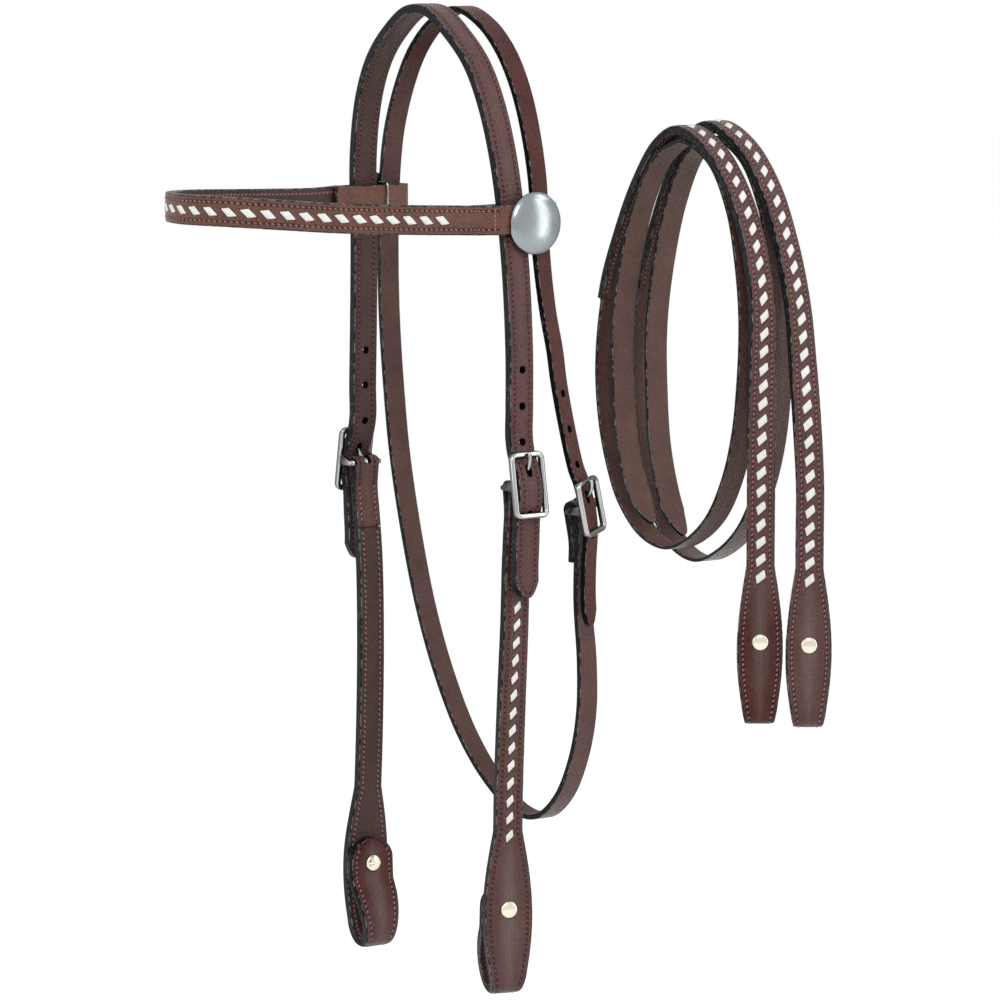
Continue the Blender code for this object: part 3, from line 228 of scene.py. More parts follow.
floor_z = plain_box[0].z - FLOOR_DROP
floor_mesh = bpy.data.meshes.new("floor")
corners = [(x * FLOOR_HALF, y * FLOOR_HALF, floor_z) for x, y in ((-1, -1), (1, -1), (1, 1), (-1, 1))]
floor_mesh.from_pydata(corners, [], [(0, 1, 2, 3)])
floor_paint, tree, shader = new_material("pale_floor")
for label, value in (
    ("Base Color", (FLOOR_GREY, FLOOR_GREY, FLOOR_GREY, 1)),
    ("Roughness", FLOOR_ROUGHNESS),
    ("Specular IOR Level", 0.0),
    ("Emission Color", (1, 1, 1, 1)),
    ("Emission Strength", times(white_to_the_eye(tree, 0.0), FLOOR_GLOW)),
):
    feed(shader.inputs[label], value)
floor_mesh.materials.append(floor_paint)
floor = scene_object("floor", floor_mesh)
print("floor at", round(floor_z, 3), "m")

# %% Lamps
LAMPS_AIM = Vector((0, 0.05, -0.25))
for name, place, power, wide, tall in (
    ("key_lamp", (1.9, -1.3, 1.3), 32, 1.0, 1.0),
    ("fill_lamp", (-0.3, -2.4, 0.4), 11, 1.4, 1.4),
    ("rim_lamp", (1.2, 2.0, 1.5), 10, 1.0, 1.0),
    ("strip_lamp", (2.0, 1.76, 0.1), 17, 0.62, 2.6),
):
    light = bpy.data.lights.new(name, "AREA")
    light.shape, light.energy, light.size, light.size_y = "RECTANGLE", power, wide, tall
    lamp = scene_object(name, light)
    lamp.location = place
    look_along(lamp, LAMPS_AIM - Vector(place))
print("lamps:", [light.name for light in bpy.data.lights])

# %% [markdown]
# ## The line that a strap follows
# A strap is a long ribbon that bends, twists and folds, but never stretches. A Curve object
# with a bevel could draw it, but its twist is hard to steer at a fold. So each strap is a
# line down its middle with a width direction at each point. The line is a centripetal
# Catmull-Rom curve, which passes through its points without loops, and all the plies of one
# strap share one line, as the real ones are glued together.

# %% Straps' sizes
STRAP_WIDTH, THROAT_WIDTH = 16 * MM, 12.7 * MM
PLY, LACED_PLY, THROAT_PLY, GAP = 2.35 * MM, 2 * MM, 3.2 * MM, 0.3 * MM
CROWN_THICK = 2 * PLY + GAP
LACE_ROOM = 1 * MM
HALF_SPREAD, SET_BACK, CROWN_DROP = 73 * MM, 9 * MM, 258 * MM
CHEEK_LENGTH, FAR_CHEEK_SHORTER = 283 * MM, 6.5 * MM
THROAT_BACK, THROAT_DROP = 25 * MM, 456 * MM
BAND_REACH, BAND_DROP, BAND_RISE, FAR_BAND_RISE = 158 * MM, 109 * MM, 8 * MM, 3.8 * MM
TIP_LENGTH = 9 * MM
FINEST_STEP, RING_SPACING, CLOSEST_RINGS = 0.6 * MM, 1.7 * MM, 0.02 * MM
DEGREES_PER_RING, TIP_RINGS = 5, 9
print("crown's thickness in mm:", round(CROWN_THICK / MM, 2))


# %% Line
def smooth_rows(rows):
    """Rows close together on the smooth curve through these rows."""
    rows = np.array(rows, float)
    rows = np.vstack([2 * rows[0] - rows[1], rows, 2 * rows[-1] - rows[-2]])
    fine = []
    for p0, p1, p2, p3 in zip(rows, rows[1:], rows[2:], rows[3:]):
        knots = [0.0]
        for a, b in ((p0, p1), (p1, p2), (p2, p3)):
            knots.append(knots[-1] + math.sqrt(np.linalg.norm(b[:3] - a[:3])))
        count = max(2, math.ceil(np.linalg.norm(p2[:3] - p1[:3]) / FINEST_STEP))
        t = (knots[1] + (knots[2] - knots[1]) * np.arange(count) / count)[:, None]

        def mix(a, b, ta, tb):
            return ((tb - t) * a + (t - ta) * b) / (tb - ta)

        a1 = mix(p0, p1, knots[0], knots[1])
        a2 = mix(p1, p2, knots[1], knots[2])
        a3 = mix(p2, p3, knots[2], knots[3])
        b1, b2 = mix(a1, a2, knots[0], knots[2]), mix(a2, a3, knots[1], knots[3])
        fine.append(mix(b1, b2, knots[1], knots[2]))
    return np.vstack([*fine, rows[-2]])


def unit(rows):
    return rows / np.linalg.norm(rows, axis=1, keepdims=True)


class Line:
    """A smooth line with a width direction and an outward one. flip turns the outside."""

    def __init__(self, rows, flip=1):
        fine = smooth_rows([[*place, *wide] for place, wide in rows])
        self.flip = flip
        self.places = fine[:, :3]
        steps = np.linalg.norm(np.diff(self.places, axis=0), axis=1)
        self.lengths = np.concatenate([[0], np.cumsum(steps)])
        self.length = self.lengths[-1]
        padded = np.vstack([self.places[:1], self.places, self.places[-1:]])
        self.tangents = unit(padded[2:] - padded[:-2])
        across = (fine[:, 3:] * self.tangents).sum(axis=1, keepdims=True)
        self.widths = unit(fine[:, 3:] - self.tangents * across)
        self.outs = np.cross(self.widths, self.tangents) * flip

    def at(self, stops):
        """Places, width, outward and lengthwise directions at these lengths, as arrays."""
        found = []
        for rows in (self.places, self.widths, self.outs, self.tangents):
            columns = [np.interp(stops, self.lengths, rows[:, k]) for k in range(3)]
            found.append(np.stack(columns, axis=1))
        return [found[0], *(unit(rows) for rows in found[1:])]

    def spot(self, stop):
        """Place, width and outward direction at one length."""
        return [rows[0] for rows in self.at(np.array([stop]))[:3]]

    def stops(self, first, last, tips=()):
        """Lengths for rings from first to last, close together where the line turns and near
        the tips."""
        turns = np.degrees(np.linalg.norm(np.diff(self.tangents, axis=0), axis=1))
        turns += np.degrees(np.linalg.norm(np.diff(self.widths, axis=0), axis=1))
        rings = turns / DEGREES_PER_RING + np.diff(self.lengths) / RING_SPACING
        rings = np.concatenate([[0], np.cumsum(rings)])
        ends = np.interp([first, last], self.lengths, rings)
        count = max(4, math.ceil(ends[1] - ends[0]))
        stops = np.interp(np.linspace(*ends, count), rings, self.lengths)
        for tip in tips:
            shares = np.linspace(0, 1, TIP_RINGS) ** 2
            inward = 1 if tip - first < last - tip else -1
            stops = np.concatenate([stops, tip + inward * shares * TIP_LENGTH])
        stops = np.unique(np.clip(np.round(stops, 6), first, last))
        keep = np.concatenate([[True], np.diff(stops) > CLOSEST_RINGS])
        return stops[keep]


def level_width(heading):
    """A level width direction, turned this many degrees from straight back."""
    turn = math.radians(heading)
    return (math.sin(turn), math.cos(turn), 0)


print("a line's finest step in mm:", FINEST_STEP / MM)

# %% [markdown]
# ## The skin of a ply
# A ply of leather has flat faces that rise a little in the middle, a groove under each row of
# stitches, and edges that are rounded and painted. Solidify and Bevel on a flat ribbon would
# come close, but not the grooves. So one cross-section with these features is placed at each
# stop of the line and joined to the next. The mesh also keeps what its material needs: the
# length and the place across as a UV map, how far each point lies in from the edge, and
# whether it is on the painted edge or on the back.

# %% Cross-section
ROW_INSET, FACE_START = 3 * MM, 0.8 * MM
GROOVE_INSETS = tuple(ROW_INSET + k * 0.45 * MM for k in (-2, -1, 0, 1, 2))
GROOVE_DEPTHS = tuple(share * 0.22 * MM for share in (0, 0.6, 1, 0.6, 0))
DOME, CORNER, SHARP_CORNER = 0.25 * MM, 0.65 * MM, 0.1 * MM
CORNER_ANGLES, CORNER_SHARE = (5, 35, 62, 90), 0.45


def face_points():
    """Points across one face, as (side, inset, share of the half width, groove depth)."""
    half = [(FACE_START, None, 0.0), *((i, None, d) for i, d in zip(GROOVE_INSETS, GROOVE_DEPTHS))]
    half += [(None, 0.3, 0.0)]
    left = [(-1, *point) for point in half]
    right = [(1, *point) for point in half[::-1]]
    return [*left, (1, None, 0.0, 0.0), *right]


def ply_rings(line, stops, half, low, high, corners, domes=(0, DOME), grooves=(0, 1)):
    """Points, and what the material needs, of the rings of a ply at these stops. half, low and
    high are numbers or one number for each stop. The pairs are for the low and high faces."""
    places, widths, outs, _ = line.at(stops)
    half, low, high = (np.broadcast_to(value, stops.shape) for value in (half, low, high))
    small = np.minimum(1, half / (STRAP_WIDTH / 2))
    radii = [np.minimum(corner * small, CORNER_SHARE * (high - low)) for corner in corners]
    across, level, edge, back_face = [], [], [], []

    def keep(v, n, on_edge, behind):
        across.append(v)
        level.append(n)
        edge.append(np.full(stops.shape, float(on_edge)))
        back_face.append(np.full(stops.shape, float(behind)))

    for face, sign, surface, opposite in ((1, 1, high, low), (0, -1, low, high)):
        for side, inset, share, depth in face_points()[::sign]:
            if inset is not None:
                v = side * (half - np.maximum(inset * small, radii[face]))
            else:
                v = side * share * half
            rise = domes[face] * small * (1 - (v / half) ** 2) - grooves[face] * depth * small
            keep(v, surface + sign * rise, 0, 1 - face)
        for angle in np.radians(CORNER_ANGLES):
            v = sign * (half - radii[face] * (1 - math.sin(angle)))
            keep(v, surface - sign * radii[face] * (1 - math.cos(angle)), 1, 1 - face)
        other = radii[1 - face]
        for angle in np.radians(CORNER_ANGLES[::-1]):
            v = sign * (half - other * (1 - math.sin(angle)))
            keep(v, opposite + sign * other * (1 - math.cos(angle)), 1, face)
    across, level = np.stack(across, 1), np.stack(level, 1)
    points = places[:, None] + widths[:, None] * across[..., None] + outs[:, None] * level[..., None]
    inset = half[:, None] - np.abs(across)
    lengths = np.broadcast_to(stops[:, None], across.shape)
    facts = np.stack([lengths, across, inset, np.stack(edge, 1), np.stack(back_face, 1)], 2)
    return np.concatenate([points, facts], axis=2)


# %% Meshes
def as_mesh(shape, name):
    """The mesh of a finished bmesh, which is freed."""
    mesh = bpy.data.meshes.new(name)
    shape.to_mesh(mesh)
    shape.free()
    return mesh


def face_outwards(shape):
    """Turns all the faces of a closed shape round if they point inwards."""
    if shape.calc_volume(signed=True) < 0:
        bmesh.ops.reverse_faces(shape, faces=shape.faces[:])


def smooth(mesh):
    mesh.polygons.foreach_set("use_smooth", [True] * len(mesh.polygons))
    return mesh


def ply_mesh(name, rings):
    """A closed mesh through rings, with its UV map and attributes."""
    count, size = rings.shape[:2]
    index = np.arange(count * size).reshape(count, size)
    after = np.roll(index, -1, axis=1)
    quads = np.stack([index[:-1], after[:-1], after[1:], index[1:]], axis=2).reshape(-1, 4)
    mesh = bpy.data.meshes.new(name)
    faces = [*map(tuple, quads.tolist()), tuple(index[0][::-1].tolist()), tuple(index[-1].tolist())]
    points = rings.reshape(-1, rings.shape[2])
    mesh.from_pydata(points[:, :3].tolist(), [], faces)
    shape = bmesh.new()
    shape.from_mesh(mesh)
    face_outwards(shape)
    shape.to_mesh(mesh)
    shape.free()
    for label, column in (("inset", 5), ("edge", 6), ("behind", 7)):
        layer = mesh.attributes.new(label, "FLOAT", "POINT")
        layer.data.foreach_set("value", points[:, column].astype(np.float32))
    loops = np.empty(len(mesh.loops), np.int32)
    mesh.loops.foreach_get("vertex_index", loops)
    uv = mesh.uv_layers.new(name="strap")
    uv.data.foreach_set("uv", points[loops][:, 3:5].astype(np.float32).ravel())
    return smooth(mesh)


def dress(name, mesh, material, node, body):
    """Makes a mesh a piece of the object that stands for a node of the plain model."""
    made = scene_object(name, mesh)
    mesh.materials.clear()
    mesh.materials.append(material)
    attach(made, body)
    if node:
        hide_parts(node)
    return made


def narrowing(stops, full, start, end, length):
    """Half widths that round off to a point over start at the first end and end at the last."""
    share = np.ones_like(stops)
    if start:
        share = np.minimum(share, stops / start)
    if end:
        share = np.minimum(share, (length - stops) / end)
    point = 0.35 * MM
    return point + (full - point) * np.sqrt(np.clip(share, 0, 1))


print("points in a cross-section:", 2 * (len(face_points()) + 2 * len(CORNER_ANGLES)))

# %% [markdown]
# ## Hide, paint, stitch holes and lace slits
# Every strap shares the same effects. They could be painted by hand on an image for each
# strap, but a formula follows every bend and needs no image, so each effect is a node group
# that is built once. The hide group gives the pores and the cloudy dye of oiled leather. The
# paint group says where the black edge paint lies and where it has rubbed off. The other two
# find the stitch holes and the lace slits from the place along and across the strap.

# %% Hide group
CLOUDS_SCALE, MOTTLE_SCALE, FIBRES_SCALE, PORES_SCALE = 55.0, 380.0, 1100.0, 900.0
MOTTLE_HEIGHT, FIBRES_HEIGHT, PORES_HEIGHT = 0.5 * MM, 0.34 * MM, 0.14 * MM
DARKEST, MATTEST = 0.25, 0.92
hide, given, give = new_group(
    "hide",
    {
        "Place": (VECTOR, None),
        "Colour": (COLOUR, (0.1, 0.04, 0.03, 1)),
        "Pore Scale": (NUMBER, PORES_SCALE),
        "Cloudiness": (NUMBER, 0.5),
        "Depth": (NUMBER, 1.0),
        "Gloss": (NUMBER, 0.5),
    },
    {"Colour": COLOUR, "Roughness": NUMBER, "Height": NUMBER},
)
spot = given["Place"]
clouds, mottle = noise(spot, CLOUDS_SCALE), noise(spot, MOTTLE_SCALE, 4.0)
fibres = noise(spot, FIBRES_SCALE)
pores = add(hide, "ShaderNodeTexVoronoi", in_Vector=spot, in_Scale=given["Pore Scale"])
pores = pores.outputs["Distance"]
uneven = plus(times(minus(clouds, 0.5), 1.2), minus(mottle, 0.5))
uneven = times(plus(uneven, times(minus(fibres, 0.5), 1.2)), given["Cloudiness"])
in_pore = times(minus(0.45, pores), 0.35)
give("Colour", scaled(given["Colour"], calc("MAXIMUM", minus(plus(uneven, 1.0), in_pore), DARKEST)))
matt = minus(plus(times(minus(mottle, 0.5), 0.5), MATTEST), given["Gloss"])
give("Roughness", calc("MINIMUM", minus(matt, times(uneven, 0.12)), 1.0))
relief = plus(times(calc("MINIMUM", pores, 0.5), PORES_HEIGHT), times(mottle, MOTTLE_HEIGHT))
give("Height", times(plus(relief, times(fibres, FIBRES_HEIGHT)), given["Depth"]))

# %% Edge paint group
RAGGED_SCALE, SPECKS_SCALE = 500.0, 260.0
edge_paint, given, give = new_group(
    "edge_paint",
    {"Place": (VECTOR, None), "Edge": (NUMBER, 0.0), "Rubbed": (NUMBER, 0.5)},
    {"Paint": NUMBER, "Rub": NUMBER},
)
on_edge = given["Edge"]
ragged = plus(on_edge, times(minus(noise(given["Place"], RAGGED_SCALE), 0.5), 0.7))
give("Paint", times(minus(ragged, 0.45), 6.0, clamp=True))
specks = minus(noise(given["Place"], SPECKS_SCALE, 5.0), minus(1.05, given["Rubbed"]))
# near_face is a thin band where the paint meets the face. Rub lightens it together with the specks.
near_face = times(minus(1.0, on_edge), on_edge)
give("Rub", calc("MAXIMUM", times(specks, 9.0, clamp=True), near_face))

# %% Stitch hole group
HOLE_SPREAD, DENT_SPREAD = 0.36 * MM, 0.6 * MM
STITCH_PITCH, NO_END = 3 * MM, 10.0
stitch_holes, given, give = new_group(
    "stitch_holes",
    {
        "Length": (NUMBER, 0.0),
        "Inset": (NUMBER, 0.0),
        "Pitch": (NUMBER, STITCH_PITCH),
        "Row": (NUMBER, ROW_INSET),
        "Until": (NUMBER, NO_END),
    },
    {"Hole": NUMBER, "Dent": NUMBER},
)
turns = minus(calc("FRACT", divided(given["Length"], given["Pitch"])), 0.5)
along = times(minus(0.5, calc("ABSOLUTE", turns)), given["Pitch"])
aside = minus(given["Inset"], given["Row"])
apart = calc("SQRT", plus(calc("POWER", along, 2.0), calc("POWER", aside, 2.0)))
sewn = calc("LESS_THAN", given["Length"], given["Until"])
hole = minus(2.3, divided(apart, HOLE_SPREAD), clamp=True)
dent = minus(1.6, divided(calc("ABSOLUTE", aside), DENT_SPREAD), clamp=True)
give("Hole", times(hole, sewn))
give("Dent", times(dent, sewn))

# %% Lace slit group
LACE_PITCH, LACE_LENGTH, LACE_WIDTH, LACE_SKEW = 9.9 * MM, 5.2 * MM, 4.9 * MM, 4.1 * MM
LACE_LEAN = 0.2
SLIT_SPREAD, LIFT_SPREAD = 0.3 * MM, 1.0 * MM
lace_slits, given, give = new_group(
    "lace_slits",
    {
        "Length": (NUMBER, 0.0),
        "Across": (NUMBER, 0.0),
        "First": (NUMBER, 0.0),
        "Count": (NUMBER, 0.0),
        "Pitch": (NUMBER, LACE_PITCH),
        "Reach": (NUMBER, LACE_LENGTH / 2),
        "Slant": (NUMBER, LACE_SKEW / LACE_WIDTH),
    },
    {"Slit": NUMBER, "Lift": NUMBER, "Raw": NUMBER},
)
start = minus(given["Length"], given["First"])
number = calc("ROUND", divided(start, given["Pitch"]))
number = calc("MAXIMUM", calc("MINIMUM", number, minus(given["Count"], 1.0)), 0.0)
offset = minus(start, times(number, given["Pitch"]))
offset = calc("ABSOLUTE", minus(offset, times(given["Across"], given["Slant"])))
off_slit = calc("ABSOLUTE", minus(offset, given["Reach"]))
aside = calc("ABSOLUTE", given["Across"])
inside = calc("LESS_THAN", aside, 0.72 * LACE_WIDTH)
inside = times(inside, calc("GREATER_THAN", given["Count"], 0.5))
slit = times(minus(1.4, divided(off_slit, SLIT_SPREAD), clamp=True), inside)
give("Slit", slit)
give("Lift", times(minus(1.6, divided(off_slit, LIFT_SPREAD), clamp=True), inside))
give("Raw", times(slit, calc("GREATER_THAN", aside, 0.5 * LACE_WIDTH)))
print("shader groups:", [group.name for group in bpy.data.node_groups])

# %% [markdown]
# ## Leather materials
# The front and the back of a ply are two sides of a hide: the front is the smooth grain side,
# and the back of a single ply is duller and browner. Two material slots could split them, but
# a split shows as a hard line at the rounded edge, so one material blends both by the mesh's
# own attributes. One function places the groups, and the Principled shader stays in the
# material itself.

# %% Leather colours
GRAIN, LINING_GRAIN = (0.086, 0.030, 0.026), (0.048, 0.018, 0.014)
FLESH, RAW_CUT = (0.078, 0.034, 0.027), (0.36, 0.17, 0.07)
STITCH_HOLE_SHADE, SLIT_SHADE = (0.012, 0.006, 0.005), (0.012, 0.007, 0.006)
SLIT_LIP = (0.15, 0.065, 0.045)
EDGE_PAINT, RUBBED, RUBBED_SHARE = (0.004, 0.004, 0.005), (0.11, 0.10, 0.10), 0.42
# PAINTED_SHEEN is a painted sheen: the pale grey-brown that the middle of a wide face is blended
# towards.
PAINTED_SHEEN, SHEEN_FROM, SHEEN_OVER, SHEEN_SHARE = (0.21, 0.165, 0.15), 6.5 * MM, 6 * MM, 0.36
# CORNER_HIGHLIGHT is a painted highlight on the rounded corner beside the edge paint.
CORNER_HIGHLIGHT, HIGHLIGHT_INSET, HIGHLIGHT_SHARE = (0.33, 0.32, 0.31), 0.3 * MM, 0.8
HIGHLIGHT_BREAKS_SCALE = 330.0
WRINKLE_WAVES, SHEEN_STREAK_WAVES = (800, 90, 1), (45, 800, 1)
HIDE_DEPTH, FRONT_CLOUDS, BACK_CLOUDS, LEATHER_BUMP = 2.2, 0.75, 0.8, 0.8
SHINE, PAINT_LESS_SHINE, PAINT_ROUGHNESS = 0.34, 0.22, 0.33
# Painted shade: how much less shine a shaded span has, and how softly it starts and ends.
SHADE_FADE, SHADE_SHARE = 30 * MM, 0.75
print("leather colours are ready")


# %% Leather helpers
def stretched_noise(uv, waves, detail):
    """Noise with its own number of waves to the metre along and across the strap."""
    placed = add(uv.id_data, "ShaderNodeMapping", in_Vector=uv, in_Scale=waves)
    return noise(placed.outputs[0], 1.0, detail)


def with_stitches(tree, colour, height, length, inset, until):
    """The stitch holes and the groove into which the thread has pulled the leather. The holes are
    painted near-black and the groove half as dark, as painted shade.
    """
    sewn = use_group(tree, stitch_holes, Length=length, Inset=inset, Until=until)
    # Painted shade in the holes and, by half, in the groove.
    dark = calc("MAXIMUM", times(sewn["Dent"], 0.5), sewn["Hole"])
    height = minus(height, times(sewn["Hole"], 0.5 * MM))
    return blend_colour(dark, colour, STITCH_HOLE_SHADE), minus(height, times(sewn["Dent"], 0.25 * MM))


def with_slits(tree, colour, height, place, laced, on_front):
    """The lace's slits, with a lifted lip and a raw end, on the front of the ply only. The slits are
    painted near-black, as painted shade.
    """
    slits = use_group(
        tree, lace_slits, Length=place[0], Across=place[1], First=laced[0], Count=float(laced[1]),
        Slant=laced[2] * LACE_SKEW / LACE_WIDTH,
    )
    slit, lift, raw = (times(slits[label], on_front) for label in ("Slit", "Lift", "Raw"))
    for share, paint in ((times(lift, 0.25), SLIT_LIP), (slit, SLIT_SHADE), (raw, RAW_CUT)):
        colour = blend_colour(share, colour, paint)
    return colour, minus(plus(height, times(lift, 0.6 * MM)), times(slit, 0.7 * MM))


def painted_highlight_share(spot, inset):
    """A painted highlight: a light grey line just in from the painted edge, where the rounded corner
    would catch the light. Noise breaks it into dashes.
    """
    off_highlight = calc("ABSOLUTE", minus(inset, HIGHLIGHT_INSET))
    highlight_line = minus(1.2, divided(off_highlight, 0.8 * HIGHLIGHT_INSET), clamp=True)
    broken = times(minus(noise(spot, HIGHLIGHT_BREAKS_SCALE), 0.44), 6.0, clamp=True)
    return times(highlight_line, times(broken, HIGHLIGHT_SHARE))


def shaded_shine(shine, length, shaded_span):
    """Painted shade: less shine between two lengths, with a soft change at both."""
    middle, reach = (shaded_span[0] + shaded_span[1]) / 2, (shaded_span[1] - shaded_span[0]) / 2
    inside = minus(reach, calc("ABSOLUTE", minus(length, middle)))
    share = divided(inside, SHADE_FADE, clamp=True)
    return times(shine, minus(1.0, times(share, SHADE_SHARE)))


# %% Leather
def leather(
    name, front, behind, gloss=0.57, behind_gloss=0.46, stitched=False, until=NO_END, laced=None,
    wrinkled=0.15, shaded_span=None,
):
    """A leather material. It has stitch rows up to the length until if it is stitched. laced
    is (first middle, count, which way the slits slant). wrinkled is how far the fine wrinkles
    across the strap show on the back. Between the two lengths that it may be given for painted
    shade, it has less shine."""
    made, tree, shader = new_material(name)
    spot = tree.nodes.new("ShaderNodeTexCoord").outputs["Object"]
    uv = add(tree, "ShaderNodeUVMap", uv_map="strap").outputs[0]
    place = add(tree, "ShaderNodeSeparateXYZ", in_0=uv).outputs
    inset, on_edge, behind_share, in_cut = (
        add(tree, "ShaderNodeAttribute", attribute_name=label).outputs["Fac"]
        for label in ("inset", "edge", "behind", "cut")
    )
    sides = [
        use_group(
            tree, hide, Place=spot, Colour=(*colour, 1), Gloss=shine, Depth=HIDE_DEPTH, Cloudiness=cloud
        )
        for colour, shine, cloud in ((front, gloss, FRONT_CLOUDS), (behind, behind_gloss, BACK_CLOUDS))
    ]
    is_back = calc("GREATER_THAN", behind_share, 0.5)
    on_front = minus(1.0, is_back)
    colour = blend_colour(is_back, *(side["Colour"] for side in sides))
    rough, height = (
        plus(sides[0][label], times(is_back, minus(sides[1][label], sides[0][label])))
        for label in ("Roughness", "Height")
    )
    wrinkles = times(stretched_noise(uv, WRINKLE_WAVES, 3.0), is_back)
    height = plus(height, times(wrinkles, wrinkled * MM))
    # Painted sheen: away from the edges, the front turns paler and greyer in lengthwise streaks.
    sheen_middle = divided(minus(inset, SHEEN_FROM), SHEEN_OVER, clamp=True)
    sheen_streaks = times(stretched_noise(uv, SHEEN_STREAK_WAVES, 2.0), 2 * SHEEN_SHARE)
    colour = blend_colour(times(times(sheen_middle, sheen_streaks), on_front), colour, PAINTED_SHEEN)
    if stitched:
        colour, height = with_stitches(tree, colour, height, place[0], inset, until)
    if laced:
        colour, height = with_slits(tree, colour, height, place, laced, on_front)
    edge = use_group(tree, edge_paint, Place=spot, Edge=on_edge, Rubbed=RUBBED_SHARE)
    colour = blend_colour(edge["Paint"], colour, blend_colour(edge["Rub"], EDGE_PAINT, RUBBED))
    # Painted highlight along the rounded corner beside the edge paint.
    colour = blend_colour(painted_highlight_share(spot, inset), colour, CORNER_HIGHLIGHT)
    # Painted shade: inside a cut hole the leather takes the edge paint's near-black colour.
    colour = blend_colour(in_cut, colour, EDGE_PAINT)
    paint_rough = plus(PAINT_ROUGHNESS, times(edge["Rub"], 0.3))
    rough = plus(rough, times(edge["Paint"], minus(paint_rough, rough)))
    link_surface(shader, colour, plus(rough, in_cut, clamp=True), height, LEATHER_BUMP)
    shine = minus(SHINE, times(edge["Paint"], PAINT_LESS_SHINE))
    shine = times(shine, minus(1.0, in_cut))
    feed(shader.inputs["Specular IOR Level"], shaded_shine(shine, place[0], shaded_span) if shaded_span else shine)
    return made


print("leather is ready")

# %% [markdown]
# ## Metal, lace and thread
# The buckles are polished, so their colour is almost all reflection, with faint scratches.
# The conchos are satin, rubbed in rings. The lace is a soft white strip, and the thread a
# waxed brown one. Ready materials could be taken from a library, but each finish here needs
# only one wear group or the hide group with other values.

# %% Metal group
SMEAR_SCALE, SCRATCH_STRETCH, SCRATCH_HEIGHT = 120.0, (1, 1, 0.12), 0.006 * MM
METAL_BUMP, THREAD_BUMP = 0.6, 0.5
metal_wear, given, give = new_group(
    "metal_wear",
    {"Place": (VECTOR, None), "Roughness": (NUMBER, 0.1), "Scratch Scale": (NUMBER, 900.0)},
    {"Roughness": NUMBER, "Height": NUMBER, "Tone": NUMBER},
)
drawn_out = add(metal_wear, "ShaderNodeMapping", in_Vector=given["Place"], in_Scale=SCRATCH_STRETCH)
scratch = noise(drawn_out.outputs[0], given["Scratch Scale"])
uneven = minus(plus(scratch, noise(given["Place"], SMEAR_SCALE)), 1.0)
give("Roughness", times(given["Roughness"], plus(uneven, 1.0)))
give("Height", times(scratch, SCRATCH_HEIGHT))
give("Tone", plus(1.0, times(uneven, 0.12)))


# %% Metals
def metal(
    name, colour, roughness, scratches=900.0, scratch_depth=1.0, dark_reflection=0.6, dark_reflection_from=0.22
):
    """A worn metal. A metal's colour is its gloss. dark_reflection is a painted reflection: how much
    darker that colour is painted where the surface turns away from the eye, as if it mirrored a dark
    room."""
    made, tree, shader = new_material(name)
    spot = tree.nodes.new("ShaderNodeTexCoord").outputs["Object"]
    wear = use_group(tree, metal_wear, Place=spot, Roughness=roughness, Scratch_Scale=scratches)
    tint = tree.nodes.new("ShaderNodeRGB").outputs[0]
    tint.default_value = (*colour, 1)
    # Painted reflection: the colour darkens where the surface faces away from the eye.
    slope = add(tree, "ShaderNodeLayerWeight", in_Blend=0.5).outputs["Facing"]
    slope = times(minus(slope, dark_reflection_from), 2.2, clamp=True)
    tone = times(wear["Tone"], minus(1.0, times(slope, dark_reflection)))
    height = times(wear["Height"], scratch_depth)
    link_surface(shader, scaled(tint, tone), wear["Roughness"], height, METAL_BUMP)
    shader.inputs["Metallic"].default_value = 1.0
    return made


POLISHED = metal("polished_nickel", (0.41, 0.42, 0.41), 0.12, dark_reflection=0.85, dark_reflection_from=0.12)
# A near-black nickel, as painted shade on the lugs and bars of the near and throat buckles.
SHADE_BLACK_NICKEL = metal("unpolished_nickel", (0.09, 0.09, 0.09), 0.4)
SATIN = metal("satin_nickel", (0.285, 0.315, 0.33), 0.24, 1400.0, 5.0, dark_reflection=0.35)
SCREW_METAL = metal("warm_nickel", (0.74, 0.69, 0.56), 0.2)


# %% Lace and thread materials
def soft_strip(name, colour, dirt, roughness, fine):
    """A matt woven or waxed strip, a little dirty in its hollows."""
    made, tree, shader = new_material(name)
    skin = use_group(
        tree, hide, Place=tree.nodes.new("ShaderNodeTexCoord").outputs["Object"],
        Colour=(*colour, 1), Gloss=MATTEST - roughness, Pore_Scale=fine, Cloudiness=dirt, Depth=0.4,
    )
    link_surface(shader, skin["Colour"], skin["Roughness"], skin["Height"], THREAD_BUMP)
    return made


LACE_WHITE = soft_strip("white_lace", (0.84, 0.835, 0.82), 0.10, 0.6, 1500.0)
THREAD = soft_strip("dark_red_thread", (0.105, 0.026, 0.022), 0.5, 0.5, 2500.0)
ROSY_THREAD = soft_strip("rosy_thread", (0.23, 0.12, 0.105), 0.5, 0.5, 2500.0)
PALE_THREAD = soft_strip("pale_thread", (0.36, 0.20, 0.13), 0.4, 0.55, 2500.0)
print("materials so far:", len(bpy.data.materials))

# %% [markdown]
# ## A piece that repeats along a strap
# Stitches and lace are hundreds of small copies. An Array modifier on a curve could lay them
# out, but Geometry Nodes can turn each one to its strap. The tree takes a cloud of points
# that hold the lengthwise and outward directions, turns a copy to them at each point, gives
# it a slight wobble from a fixed seed, and makes the copies real mesh with one material. One
# tree serves every row.


